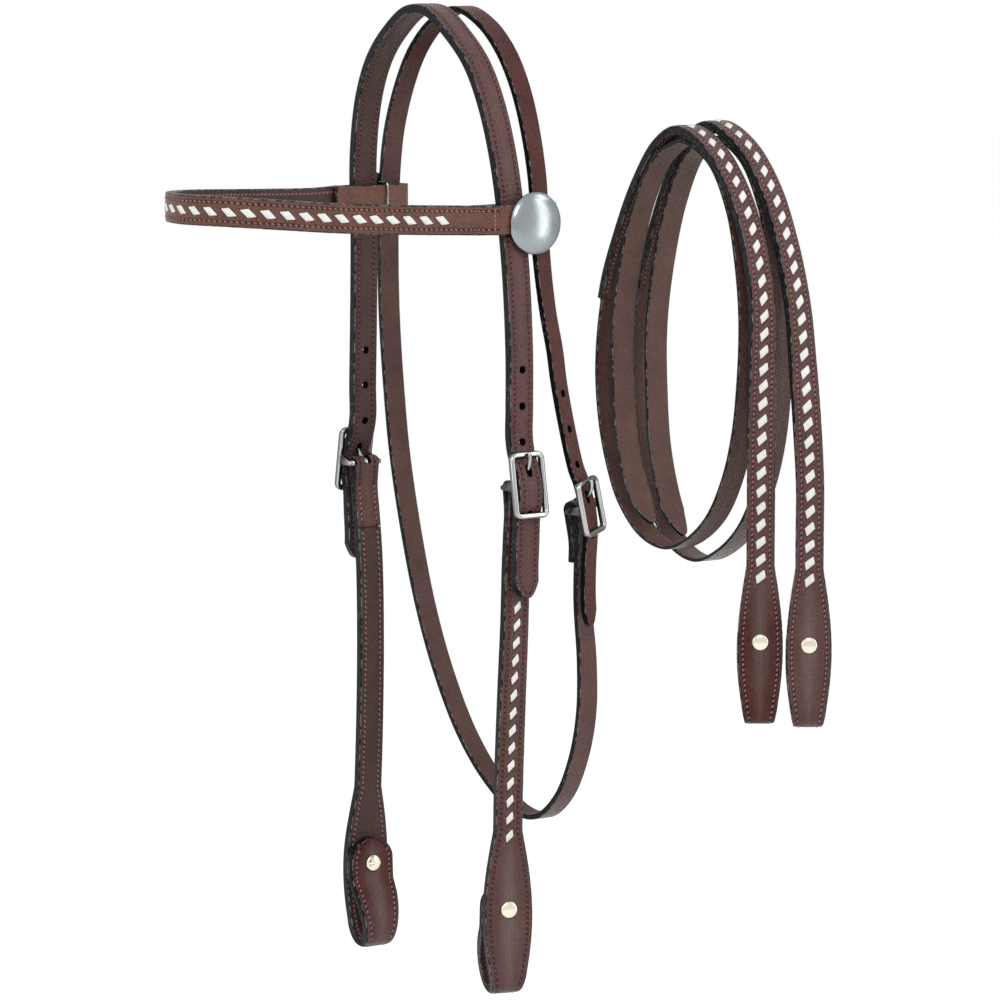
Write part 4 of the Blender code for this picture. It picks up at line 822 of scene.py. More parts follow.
# %% Repeat tree
def repeat_tree():
    """The tree, and the identifiers of its inputs by name."""
    tree = bpy.data.node_groups.new("repeat_along_strap", "GeometryNodeTree")
    sockets = {}
    for label, kind, value in (
        ("Geometry", "NodeSocketGeometry", None),
        ("Piece", "NodeSocketObject", None),
        ("Size", VECTOR, (1, 1, 1)),
        ("Wobble", NUMBER, 0.05),
        ("Seed", "NodeSocketInt", 7),
        ("Material", "NodeSocketMaterial", None),
    ):
        socket = tree.interface.new_socket(label, in_out="INPUT", socket_type=kind)
        if value is not None:
            socket.default_value = value
        sockets[label] = socket.identifier
    tree.interface.new_socket("Geometry", in_out="OUTPUT", socket_type="NodeSocketGeometry")
    given = tree.nodes.new("NodeGroupInput").outputs
    along, out = (
        add(
            tree, "GeometryNodeInputNamedAttribute", data_type="FLOAT_VECTOR", in_Name=label
        ).outputs["Attribute"]
        for label in ("along", "out")
    )
    turn = add(
        tree, "FunctionNodeAxesToRotation", primary_axis="X", secondary_axis="Z", in_0=along, in_1=out
    )
    wobble = add(
        tree, "FunctionNodeRandomValue", data_type="FLOAT_VECTOR", in_0=times(given["Wobble"], -1),
        in_1=given["Wobble"], in_Seed=given["Seed"],
    )
    turned = add(
        tree, "FunctionNodeRotateRotation", rotation_space="LOCAL", in_0=turn.outputs[0],
        in_1=wobble.outputs[0],
    )
    piece = add(tree, "GeometryNodeObjectInfo", in_Object=given["Piece"]).outputs["Geometry"]
    placed = add(
        tree, "GeometryNodeInstanceOnPoints", in_Points=given["Geometry"], in_Instance=piece,
        in_Rotation=turned.outputs[0], in_Scale=given["Size"],
    )
    real = add(tree, "GeometryNodeRealizeInstances", in_0=placed.outputs[0]).outputs[0]
    painted = add(tree, "GeometryNodeSetMaterial", in_Geometry=real, in_Material=given["Material"])
    feed(tree.nodes.new("NodeGroupOutput").inputs[0], painted.outputs[0])
    return tree, sockets


REPEAT, REPEAT_SOCKETS = repeat_tree()


def repeated(name, rows, piece, size, material, wobble=0.05, seed=7):
    """A plain mesh of copies of a piece at rows of (place, along, out)."""
    rows = np.asarray(rows)
    points = bpy.data.meshes.new(name)
    points.from_pydata(rows[:, 0].tolist(), [], [])
    for label, column in (("along", 1), ("out", 2)):
        layer = points.attributes.new(label, "FLOAT_VECTOR", "POINT")
        layer.data.foreach_set("vector", rows[:, column].astype(np.float32).ravel())
    carrier = scene_object(name, points)
    modifier = carrier.modifiers.new("repeat", "NODES")
    modifier.node_group = REPEAT
    for label, value in (
        ("Piece", piece), ("Size", size), ("Wobble", wobble), ("Seed", seed), ("Material", material),
    ):
        modifier[REPEAT_SOCKETS[label]] = value
    graph = bpy.context.evaluated_depsgraph_get()
    mesh = bpy.data.meshes.new_from_object(carrier.evaluated_get(graph))
    mesh.name = name
    bpy.data.objects.remove(carrier)
    return smooth(mesh)


print("inputs of the repeat tree:", list(REPEAT_SOCKETS))

# %% One stitch and one lace bump
STITCH_SIDES = 6
STITCH_RINGS = (
    (-0.5, 0.45, -0.5), (-0.33, 0.9, 0.0), (0, 1.0, 0.22), (0.33, 0.9, 0.0), (0.5, 0.45, -0.5),
)
BUMP_LEVELS = (
    (-0.56, -1.6), (-0.5, -0.5), (-0.44, 0.25), (-0.3, 0.62), (0, 0.75), (0.3, 0.62), (0.44, 0.25),
    (0.5, -0.5), (0.56, -1.6),
)
BUMP_ACROSS = (
    (-0.5, -0.34), (-0.47, -0.1), (-0.38, 0.0), (0, 0.04), (0.38, 0.0), (0.47, -0.1), (0.5, -0.34),
)
BUMP_THICK = 0.45 * MM


def circle(count):
    """Angles once round, as many as the shape has sides."""
    return np.linspace(0, 2 * math.pi, count + 1)[:-1]


def stitch_mesh():
    """A stitch is a short thick thread that dips into a hole at each end. Its rings are (place
    along, thickness, height), for a stitch of unit size."""
    shape = bmesh.new()
    rings = [
        [
            shape.verts.new((x, 0.5 * size * math.cos(angle), z + 0.5 * size * math.sin(angle)))
            for angle in circle(STITCH_SIDES)
        ]
        for x, size, z in STITCH_RINGS
    ]
    for a, b in zip(rings, rings[1:]):
        for k in range(STITCH_SIDES):
            after = (k + 1) % STITCH_SIDES
            shape.faces.new((a[k], b[k], b[after], a[after]))
    shape.faces.new(rings[0])
    shape.faces.new(rings[-1][::-1])
    bmesh.ops.recalc_face_normals(shape, faces=shape.faces[:])
    return as_mesh(shape, "stitch")


def lace_bump_mesh(lean):
    """Where the lace comes up through a slit, lies on the strap and goes down again. Its ends
    are slanted, as its slits are, and lean says which way."""
    shape = bmesh.new()
    top, bottom = [], []
    for along, level in BUMP_LEVELS:
        row = [
            (
                along * LACE_LENGTH + lean * side * LACE_SKEW,
                side * LACE_WIDTH - lean * LACE_LEAN * along * LACE_LENGTH,
                (level + low_edge) * MM,
            )
            for side, low_edge in BUMP_ACROSS
        ]
        top.append([shape.verts.new(point) for point in row])
        bottom.append([shape.verts.new((x, y, z - BUMP_THICK)) for x, y, z in row])
    strips = range(len(BUMP_ACROSS) - 1)
    for a, b, low_a, low_b in zip(top, top[1:], bottom, bottom[1:]):
        for k in strips:
            shape.faces.new((a[k], b[k], b[k + 1], a[k + 1]))
            shape.faces.new((low_a[k + 1], low_b[k + 1], low_b[k], low_a[k]))
        for k in (0, -1):
            shape.faces.new((a[k], low_a[k], low_b[k], b[k]))
    for row in (0, -1):
        for k in strips:
            shape.faces.new((top[row][k], top[row][k + 1], bottom[row][k + 1], bottom[row][k]))
    bmesh.ops.recalc_face_normals(shape, faces=shape.faces[:])
    return as_mesh(shape, "lace_bump")


STITCH = scene_object("one_stitch", stitch_mesh())
LACE_BUMPS = {flip: scene_object(f"one_lace_{flip}", lace_bump_mesh(-flip)) for flip in (1, -1)}
print("stitch faces:", len(STITCH.data.polygons), "lace faces:", len(LACE_BUMPS[1].data.polygons))

# %% Rows of stitches and lace
STITCH_SIZE, STITCH_SINK, STITCH_SLANT = (2.6 * MM, 1.15 * MM, 0.95 * MM), 0.2 * MM, 0.35
CROSS_ROW_STEPS = range(-2, 3)


def stitch_rows(line, first, last, half, level, face):
    """Both rows of stitches on one face: face is 1 for the outside of the line and -1 for its
    inside. half is a number or a function of the stops."""
    numbers = np.arange(math.ceil(first / STITCH_PITCH), math.floor(last / STITCH_PITCH))
    stops = (numbers + 0.5) * STITCH_PITCH
    halves = half(stops) if callable(half) else np.full(stops.shape, half)
    places, widths, outs, tangents = line.at(stops)
    small = np.minimum(1, halves / (STRAP_WIDTH / 2))
    slanted = unit(tangents + STITCH_SLANT * widths)
    rows = []
    for side in (-1, 1):
        across = side * np.maximum(halves - ROW_INSET * small, 0.0)
        spots = places + widths * across[:, None] + outs * face * (level - STITCH_SINK)
        rows += list(zip(spots, slanted, outs * face))
    return rows


def cross_row(line, stop, pitch, faces):
    """A row of stitches across a strap, on each of these faces, as (level, 1 or -1)."""
    place, wide, out = line.spot(stop)
    return [
        (place + wide * step * pitch + out * face * level, wide, out * face)
        for step in CROSS_ROW_STEPS
        for level, face in faces
    ]


def lace_rows(line, middles, level):
    places, _, outs, tangents = line.at(np.array(middles))
    return list(zip(places + outs * level, tangents, outs))


def add_lace(name, line, middles, level, bump, size, node, body):
    """The white lace's bumps along a strap."""
    bumps = repeated(name, lace_rows(line, middles, level), bump, size, LACE_WHITE)
    dress(name, bumps, LACE_WHITE, node, body)


def add_stitches(name, rows, thread, wobble, seed, body, size=STITCH_SIZE):
    """Stitches at these rows. They stand for no node, because the plain model has none."""
    stitches = repeated(name, rows, STITCH, size, thread, wobble, seed)
    dress(name, stitches, thread, None, body)
    print(name + ":", len(rows))


# %% [markdown]
# ## Buckle places
# The billets and chapes bend round their buckles, so the buckles' own sizes come before the
# straps. Empties could mark the places, but a matrix also turns every point of a buckle. It
# has its strap's length along Y, its width along X and its outside along Z.

# %% Buckle sizes
BUCKLE_WIDTH, BUCKLE_HEIGHT, RAIL, SIDE_RAIL = 23 * MM, 37 * MM, 3.4 * MM, 3 * MM
FRAME_THICK, BUCKLE_CORNER, BUCKLE_PITCH = 3.2 * MM, 4.5 * MM, 9
BAR_RADIUS, TONGUE_RADIUS, EYE_WIDTH, TONGUE_PAST = 1.5 * MM, 1.15 * MM, 3 * MM, 1.2 * MM
LUG_THICK, LUG_SPAN, LUG_BEVEL = 2 * MM, 5.5 * MM, 0.25 * MM
BILLET_TAIL, FAR_TAIL_SHORTER, CHAPE_LENGTH = 61 * MM, 5 * MM, 37 * MM
HOLE_RADIUS, HOLE_PITCH, HOLE_COUNT = 2.1 * MM, 20 * MM, 3
THROAT_BUCKLE_WIDTH, THROAT_BUCKLE_HEIGHT, THROAT_TAIL = 22 * MM, 32 * MM, 66 * MM
THROAT_BAR = Vector((80 * MM, 44 * MM, -269 * MM))
THROAT_PITCH, THROAT_HEADING, THROAT_ROLL, THROAT_CHAPE = 7, -22, 9, 30 * MM
FRAME_SET = CROWN_THICK / 2 + CROWN_THICK + 4 * GAP + FRAME_THICK / 2
THROAT_OFFSET = (THROAT_PLY + GAP) / 2
THROAT_SET = THROAT_OFFSET + THROAT_PLY / 2 + 4 * GAP + THROAT_PLY + FRAME_THICK / 2
BAR_SHARE, BILLET_BULGE, TONGUE_HOLE_STRETCH = 0.993, 2.2 * MM, 2
TONGUE_HOLE_RADIUS = 0.9 * HOLE_RADIUS
SIDE_NAMES = {1: "near", -1: "far"}


def buckle_matrix(place, heading, side, roll=0.0, pitch=0.0):
    """Where a buckle sits and how it is turned, in degrees."""
    wide = Vector(level_width(heading))
    out = wide.cross(Vector((0, 0, 1))) * side
    up_strap = Matrix.Rotation(math.radians(roll), 3, out) @ Vector((0, 0, 1))
    wide = up_strap.cross(out)
    rows = Matrix((wide, up_strap, out)).transposed().to_4x4()
    return Matrix.Translation(place) @ rows @ Matrix.Rotation(math.radians(-pitch), 4, "X")


def bar_place(side):
    return Vector((side * BAR_SHARE * HALF_SPREAD, SET_BACK, CROWN_THICK / 2 - CROWN_DROP))


def cheek_buckle_matrix(side):
    return buckle_matrix(bar_place(side), 0, side, pitch=BUCKLE_PITCH)


def throat_buckle_matrix(pitch):
    return buckle_matrix(THROAT_BAR, THROAT_HEADING, 1, THROAT_ROLL, pitch)


def under_rails(height, set_out, pitch, half_strap):
    """Height and distance out of a strap's middle under the top rail and the bottom rail."""
    rail_at, turn, found = (height - RAIL) / 2, math.radians(pitch), []
    for side in (1, -1):
        rise = side * rail_at * math.cos(turn) + set_out * math.sin(turn)
        away = set_out * math.cos(turn) - side * rail_at * math.sin(turn)
        found.append((rise, away - FRAME_THICK / 2 - 1.5 * GAP - half_strap))
    return found


print("cheek buckle bar at mm:", [round(c / MM, 1) for c in bar_place(1)])

# %% [markdown]
# ## The crown
# The crown is one doubled strap from billet tip to billet tip, stitched all the way. It goes
# over the poll, down each side, under the top rail of its buckle, over the bar and under the
# bottom rail. Its holes could be left out of the faces by hand, but a Boolean cuts them with
# the same punches in each ply, after the ply has its shape.

# %% Crown line
CROWN_SIDE_SHARES = (
    (0.125, 0.00, 0.000), (0.408, 0.02, 0.049), (0.623, 0.12, 0.108), (0.785, 0.25, 0.192),
    (0.905, 0.50, 0.319), (0.968, 0.90, 0.513), (1.003, 1.03, 0.706), (1.010, 1.00, 0.835),
)


def billet_tail(side):
    return BILLET_TAIL - (FAR_TAIL_SHORTER if side < 0 else 0)


def crown_side(side):
    """Rows of the crown's line from the poll to one billet's tip."""
    rows = [
        ((side * x * HALF_SPREAD, y * SET_BACK, CROWN_THICK / 2 - z * CROWN_DROP), level_width(0))
        for x, y, z in CROWN_SIDE_SHARES
    ]
    bar = bar_place(side)
    top, bottom = under_rails(BUCKLE_HEIGHT, FRAME_SET, BUCKLE_PITCH, CROWN_THICK / 2)
    over_bar = BAR_RADIUS + GAP + LACED_PLY + 3 * GAP + CROWN_THICK / 2
    over_cheek = CROWN_THICK / 2 + 1.3 * GAP + CROWN_THICK / 2
    tail = billet_tail(side)
    down = tail + bottom[0]
    heights = (
        (1.5 * top[0], 0.35 * top[1]),
        top,
        (0.5 * top[0], (over_bar + top[1]) / 2 + BILLET_BULGE),
        (0, over_bar + 1.3 * BILLET_BULGE),
        (0.55 * bottom[0], over_bar + 1.1 * BILLET_BULGE),
        (bottom[0], min(bottom[1], 1.1 * over_bar)),
        (bottom[0] - 0.35 * down, 1.3 * over_cheek),
        (bottom[0] - 0.7 * down, 1.15 * over_cheek),
        (-tail, 1.35 * over_cheek),
    )
    return rows + [((bar.x + side * n, bar.y, bar.z + u), level_width(0)) for u, n in heights]


crown_line = Line(crown_side(1)[::-1] + crown_side(-1))
print("crown strap's length in mm:", round(crown_line.length / MM, 1))

# %% Cutters
PUNCH_SIDES, LEAST_LEFT = 20, 0.9


def punches(line, lengths, radius, stretch=1.0):
    """Punches through a strap at these lengths, as one mesh. stretch makes them oval along
    the strap."""
    shape = bmesh.new()
    for place, wide, out in zip(*line.at(np.array(lengths))[:3]):
        turn = Matrix((Vector(np.cross(wide, out)), Vector(wide), Vector(out))).transposed().to_4x4()
        bmesh.ops.create_cone(
            shape, cap_ends=True, segments=PUNCH_SIDES, radius1=radius, radius2=radius,
            depth=4 * CROWN_THICK,
            matrix=Matrix.Translation(Vector(place)) @ turn @ Matrix.Diagonal((stretch, 1, 1, 1)),
        )
    return as_mesh(shape, "punch")


def cut(mesh, *cutters):
    """The mesh less these cutters. The faces that a cutter leaves are marked, so that the
    leather inside a hole is painted near-black, without shine, as painted shade. A Boolean
    can fail and leave almost nothing, which stops the script here."""
    for cutter in cutters:
        layer = cutter.attributes.new("cut", "FLOAT", "FACE")
        layer.data.foreach_set("value", np.ones(len(cutter.polygons), np.float32))
        helper, target = scene_object("cutter", cutter), scene_object(mesh.name, mesh)
        modifier = target.modifiers.new("cut", "BOOLEAN")
        modifier.operation, modifier.object, modifier.solver = "DIFFERENCE", helper, "EXACT"
        graph = bpy.context.evaluated_depsgraph_get()
        made = bpy.data.meshes.new_from_object(target.evaluated_get(graph))
        bpy.data.objects.remove(helper)
        bpy.data.objects.remove(target)
        if len(made.vertices) < LEAST_LEFT * len(mesh.vertices):
            raise RuntimeError(f"the cut took most of {mesh.name} away")
        mesh = made
    return mesh


print("a punch's depth in mm:", round(4 * CROWN_THICK / MM, 1))


# %% Billet holes
def billet_holes(tail, height):
    """Lengths from the tip of the holes that the tongue doesn't use."""
    tongue_hole = tail + (height - RAIL) / 4 - HOLE_RADIUS
    return [tongue_hole + k * HOLE_PITCH for k in range(-1, HOLE_COUNT + 1) if k]


def tongue_path(height, set_out):
    """The tongue's middle in its buckle's own frame, from the bar to past the top rail."""
    rail_at = (height - RAIL) / 2
    over_rail = set_out + FRAME_THICK / 2 + GAP + TONGUE_RADIUS
    through = Vector((0.36 * rail_at, 0.53 * over_rail))
    path = [
        through.normalized() * (BAR_RADIUS + 2 * GAP), through, (0.57 * rail_at, 0.84 * over_rail),
        (0.80 * rail_at, 0.975 * over_rail), (rail_at + TONGUE_PAST - 0.8 * TONGUE_RADIUS, over_rail),
    ]
    return smooth_rows([(0, y, z) for y, z in path])


def tongue_hole_at(line, matrix, height, set_out, from_start):
    """Where the tongue comes through the billet at the line's start or at its end."""
    path = np.array([matrix @ Vector(point) for point in tongue_path(height, set_out)])
    count = len(line.places)
    billet = np.arange(count // 3) if from_start else np.arange(2 * count // 3, count)
    away = np.linalg.norm(line.places[billet][:, None] - path[None], axis=2).min(axis=1)
    return line.lengths[billet[int(np.argmin(away))]]


near_holes = billet_holes(billet_tail(1), BUCKLE_HEIGHT)
far_holes = [crown_line.length - hole for hole in billet_holes(billet_tail(-1), BUCKLE_HEIGHT)]
tongue_holes = [
    tongue_hole_at(crown_line, cheek_buckle_matrix(side), BUCKLE_HEIGHT, FRAME_SET, side > 0)
    for side in SIDE_NAMES
]
print("tongue holes at mm:", [round(hole / MM, 1) for hole in tongue_holes])

# %% Crown plies
HAIR = 0.02 * MM
SEW_FROM_TIP = 5 * MM


def crown_half(stops):
    return narrowing(stops, STRAP_WIDTH / 2, TIP_LENGTH, TIP_LENGTH, crown_line.length)


crown_leather = leather("crown_grain", GRAIN, LINING_GRAIN, stitched=True)
crown_stops = crown_line.stops(0, crown_line.length, tips=(0, crown_line.length))
for name, low, high, corners, domes, grooves, slot in (
    (
        "crown_outer_ply", HAIR, CROWN_THICK / 2, (SHARP_CORNER, CORNER), (0, DOME), (0, 1),
        "grain_leather",
    ),
    (
        "crown_lining_ply", -CROWN_THICK / 2, -HAIR, (CORNER, SHARP_CORNER), (DOME / 2, 0), (1, 0),
        "lining_leather",
    ),
):
    half = crown_half(crown_stops)
    rings = ply_rings(crown_line, crown_stops, half, low, high, corners, domes, grooves)
    mesh = cut(
        ply_mesh(name, rings), punches(crown_line, near_holes + far_holes, HOLE_RADIUS),
        punches(crown_line, tongue_holes, TONGUE_HOLE_RADIUS, TONGUE_HOLE_STRETCH),
    )
    dress(name + "_dressed", mesh, crown_leather, name, "headstall")
    print(name, "triangles:", sum(len(face.vertices) - 2 for face in mesh.polygons))
rows = []
for face in (1, -1):
    last = crown_line.length - SEW_FROM_TIP
    rows += stitch_rows(crown_line, SEW_FROM_TIP, last, crown_half, CROWN_THICK / 2, face)
add_stitches("crown_stitches", rows, THREAD, 0.08, 7, "headstall")

# %% [markdown]
# ## The cheeks
# Each cheek is a doubled strap. Its outer ply goes on round the buckle's bar and ends behind
# as the chape, and both plies fold up at the bottom into the loop that holds a bit. The strap
# swells round the screw that closes the loop. The lace shows at fourteen places on the front.
# A flat strap could be bent with a Simple Deform, but it bends one way only. A line through
# all the folds lets one set of helpers make the loop and the chape.

# %% Cheek sizes
FLARE_WIDTH, REIN_FLARE_WIDTH, FLARE_LENGTH, LOOP_GAP = 28 * MM, 26 * MM, 48 * MM, 10 * MM
LOOP_HEIGHT, SEAT = 40 * MM, 4 * MM
SCREW_HEIGHT, FLAP_HEIGHT = 46 * MM, 60 * MM
HEAD_RADIUS, HEAD_THICK, BARREL_RADIUS = 4.8 * MM, 1.6 * MM, 2.4 * MM
CHEEK_LACE_START, CHEEK_LACE_COUNT, CHEEK_LACE_SIZE = 67 * MM, 14, (0.9, 0.76, 1)
CHAPE_SEWN_FROM, CHAPE_SEWN_TO = 2 * MM, 26 * MM
SHADE_PAST_END = 60 * MM
LACED_LOW, LACED_HIGH = LACE_ROOM / 2, LACE_ROOM / 2 + LACED_PLY


# %% Loops at the bottom
def fold_rows():
    """(distance out, height) along the loop, from the front leg round to the flap's end."""
    radius = (LOOP_GAP + CROWN_THICK) / 2
    flap, behind = -(CROWN_THICK + GAP), -2 * radius
    rows = [(0, 2 * radius)]
    for quarter in (0, 1, 3, 4):
        angle = math.pi * quarter / 4
        if quarter == 3:
            rows += [(SEAT / 2 - radius, 0), (-SEAT / 2 - radius, 0)]
        rows.append((radius * (math.cos(angle) - 1), radius * (1 - math.sin(angle))))
    return rows + [
        (0.98 * behind, 0.40 * LOOP_HEIGHT),
        (0.74 * behind, 0.66 * LOOP_HEIGHT),
        (flap - 2 * GAP, 0.88 * LOOP_HEIGHT),
        (flap, LOOP_HEIGHT),
        (flap, SCREW_HEIGHT + HEAD_RADIUS),
        (flap, FLAP_HEIGHT),
    ]


def placed_fold(bottom, heading, side):
    out = Vector(level_width(heading)).cross(Vector((0, 0, 1))) * side
    wide = level_width(heading)
    return [(bottom + out * away + Vector((0, 0, rise)), wide) for away, rise in fold_rows()]


def flared(stops, full, flare, bottom_at, flap_end):
    """Half widths that swell round the screw on both legs of the loop and round off at the
    flap's end."""
    height = np.abs(stops - bottom_at)
    reach = np.where(height < SCREW_HEIGHT, SCREW_HEIGHT, FLARE_LENGTH)
    share = np.clip(1 - np.abs(height - SCREW_HEIGHT) / reach, 0, 1)
    wide = full + (flare - full) * np.sin(share * math.pi / 2)
    left = np.clip(np.abs(flap_end - stops) / (1.25 * TIP_LENGTH), 0, 1)
    return np.maximum(wide * np.sqrt(left * (2 - left)), 0.3 * MM)


def lowest(line):
    return line.lengths[int(np.argmin(line.places[:, 2]))]


def screw_length(line, bottom_at, after):
    """Where the screw goes through the front leg, which is after the bottom or before it."""
    low_z = line.places[:, 2].min()
    miss = np.abs(line.places[:, 2] - low_z - SCREW_HEIGHT)
    front = (line.lengths > bottom_at) == after
    front &= np.abs(line.lengths - bottom_at) < FLAP_HEIGHT
    return line.lengths[int(np.argmin(np.where(front, miss, 1)))]


print("points of a loop:", len(fold_rows()))

# %% Cheek lines
CHEEK_SHARES = {
    1: (
        (0.993, 0.000, 0), (0.990, 0.050, 0), (0.968, 0.145, 2), (0.950, 0.270, 5),
        (0.913, 0.420, 10), (0.873, 0.620, 15), (0.866, 0.780, 17),
    ),
    -1: (
        (0.993, 0.000, 0), (0.990, 0.050, 0), (0.930, 0.190, 0), (0.915, 0.360, -1),
        (0.934, 0.546, -2), (0.972, 0.720, -3), (0.990, 0.790, -3),
    ),
}


def cheek_line(side):
    bar, shares = bar_place(side), CHEEK_SHARES[side]
    rows = [
        ((side * x * HALF_SPREAD, SET_BACK, bar.z - z * CHEEK_LENGTH), level_width(side * turn))
        for x, z, turn in shares
    ]
    shorter = FAR_CHEEK_SHORTER if side < 0 else 0
    bottom = Vector((rows[-1][0][0], SET_BACK, bar.z - CHEEK_LENGTH + shorter))
    return Line(rows + placed_fold(bottom, side * shares[-1][2], side), flip=-side)


def chape_line(side):
    """The fold round the bar, whose end lies flat behind the strap."""
    bar, strap = bar_place(side), cheek_lines[side]
    round_bar, straight = BAR_RADIUS + GAP + LACED_PLY / 2, 0.05 * CHEEK_LENGTH
    level = (LACE_ROOM + LACED_PLY) / 2
    places, _, outs, _ = strap.at(np.array([CHAPE_LENGTH, 0.7 * CHAPE_LENGTH]))
    behind = places - outs * 1.03 * level
    rows = [((place[0] - bar.x) * side, place[2] - bar.z) for place in behind.tolist()]
    rows = [*rows, (-level, -straight), (-0.93 * round_bar, -0.9 * round_bar)]
    for eighth in range(5):
        angle = math.pi * (1 - eighth / 4)
        rows.append((round_bar * math.cos(angle), round_bar * math.sin(angle)))
    rows += [(0.93 * round_bar, -0.9 * round_bar), (level, -straight)]
    return Line([((bar.x + side * n, bar.y, bar.z + u), level_width(0)) for n, u in rows], flip=-side)


cheek_lines = {side: cheek_line(side) for side in SIDE_NAMES}
print("cheek lengths in mm:", [round(line.length / MM, 1) for line in cheek_lines.values()])


# %% Cutters with flat sides
def box_cutter(matrix, low_corner, high_corner):
    low_corner, high_corner = Vector(low_corner), Vector(high_corner)
    shape = bmesh.new()
    placed = matrix @ Matrix.Translation((high_corner + low_corner) / 2)
    size = Matrix.Diagonal((*(high_corner - low_corner), 1))
    bmesh.ops.create_cube(shape, size=1, matrix=placed @ size)
    return as_mesh(shape, "slot")


def chape_cutter(matrix, ply):
    """The slot in a chape's fold, where the tongue's eye sits on the bar."""
    reach = BAR_RADIUS + GAP + ply + GAP / 2
    below = BAR_RADIUS + TONGUE_RADIUS + 2.5 * GAP
    wide = (EYE_WIDTH + 3 * GAP) / 2
    return box_cutter(matrix, (-wide, -below, -reach), (wide, reach, reach))


# %% Cheek plies
def cheek(side):
    """Makes a cheek's pieces, and returns its line and where its screw is."""
    line, chape, body = cheek_lines[side], chape_line(side), SIDE_NAMES[side] + "_cheek"
    bottom_at, begin = lowest(line), 0.06 * CHEEK_LENGTH
    screw_at = screw_length(line, bottom_at, False)

    def half(stops):
        return flared(stops, STRAP_WIDTH / 2, FLARE_WIDTH / 2, bottom_at, line.length)

    def screw_hole():
        return punches(line, [screw_at], BARREL_RADIUS + GAP)

    stops = line.stops(begin, line.length, tips=(line.length,))
    eased = np.clip((stops - begin) / (12 * MM), 0, 1)
    low = LACED_LOW + (HAIR - LACED_LOW) * eased
    front_rings = ply_rings(line, stops, half(stops), low, LACED_HIGH, (SHARP_CORNER, CORNER))
    turn_stops = chape.stops(0, chape.length - 1 * MM)
    fold_rings = ply_rings(
        chape, turn_stops, STRAP_WIDTH / 2, -LACED_PLY / 2, LACED_PLY / 2, (SHARP_CORNER, CORNER),
        (0, DOME / 2),
    )
    fold_rings[:, :, 3] -= chape.length - begin
    middles = [CHEEK_LACE_START + k * LACE_PITCH for k in range(CHEEK_LACE_COUNT)]
    # The back leg and the flap get less shine, as painted shade.
    skin = leather(
        body + "_grain", GRAIN, LINING_GRAIN, stitched=True, laced=(middles[0], len(middles), -1),
        shaded_span=(bottom_at + 5 * MM, line.length + SHADE_PAST_END),
    )
    outer = ply_mesh(body + "_outer", np.concatenate([fold_rings, front_rings]))
    outer = cut(outer, chape_cutter(cheek_buckle_matrix(side), LACED_PLY), screw_hole())
    dress(body + "_outer", outer, skin, body + "_outer_ply", body)

    stops = line.stops(CHAPE_LENGTH + GAP, line.length, tips=(line.length,))
    corners = (CORNER, SHARP_CORNER)
    rings = ply_rings(line, stops, half(stops), -LACED_HIGH, -HAIR, corners, (0, 0), (1, 0))
    lining = cut(ply_mesh(body + "_lining", rings), screw_hole())
    dress(body + "_lining", lining, crown_leather, body + "_lining_ply", body)

    add_lace(
        body + "_lace_strip", line, middles, LACED_HIGH, LACE_BUMPS[side], CHEEK_LACE_SIZE,
        body + "_lace", body,
    )
    sewn_to = line.length - SEW_FROM_TIP
    rows = stitch_rows(line, begin + 6 * MM, sewn_to, half, LACED_HIGH, 1)
    rows += stitch_rows(line, CHAPE_LENGTH, sewn_to, half, LACED_HIGH, -1)
    rows += stitch_rows(chape, CHAPE_SEWN_FROM, CHAPE_SEWN_TO, STRAP_WIDTH / 2, LACED_PLY / 2, 1)
    add_stitches(body + "_stitches", rows, THREAD if side > 0 else ROSY_THREAD, 0.12, 11, body)
    return line, screw_at


cheek_screws = {side: cheek(side) for side in SIDE_NAMES}
print("cheek screws at mm:", [round(screw_at / MM, 1) for _, screw_at in cheek_screws.values()])

# %% [markdown]
# ## The throatlatch
# A single ply runs through both browband loops, over the poll, under the throat and through
# its own buckle on the near side. Its outside is the grain and its inside the flesh side. A
# simulation could hang it, but the photographed strap keeps a bend of its own, so its line is
# set by shares of its drop and reach.

# %% Throatlatch line
THROAT_OVER_SHARES = (
    (1.025, 1.44, 0.452, -20), (1.010, 1.33, 0.405, -19), (0.995, 1.18, 0.360, -19),
    (0.965, 1.06, 0.290, -15), (0.932, 1.02, 0.200, -11), (0.850, 1.00, 0.140, -8),
    (0.730, 1.00, 0.092, -4), (0.545, 1.01, 0.049, 0), (0.310, 1.00, 0.017, 0),
    (0.000, 1.00, 0.000, 0), (-0.310, 1.00, 0.017, 0), (-0.565, 0.99, 0.052, 0),
    (-0.740, 0.98, 0.097, 0), (-0.875, 0.97, 0.155, 2), (-0.950, 1.00, 0.217, 4),
    (-0.985, 1.03, 0.300, 5), (-0.985, 1.06, 0.385, 5), (-0.952, 1.11, 0.475, 4),
    (-0.905, 1.18, 0.560, 3), (-0.815, 1.30, 0.655, 2), (-0.685, 1.44, 0.750, 0),
    (-0.540, 1.63, 0.830, 0), (-0.335, 1.85, 0.905, 0), (-0.100, 2.07, 0.958, 0),
    (0.170, 2.26, 0.992, 0), (0.430, 2.33, 0.994, 0), (0.680, 2.34, 0.965, 0),
    (0.862, 2.34, 0.915, 0), (0.980, 2.30, 0.855, 0), (1.008, 2.25, 0.790, -4),
    (1.012, 2.12, 0.715, -12),
)


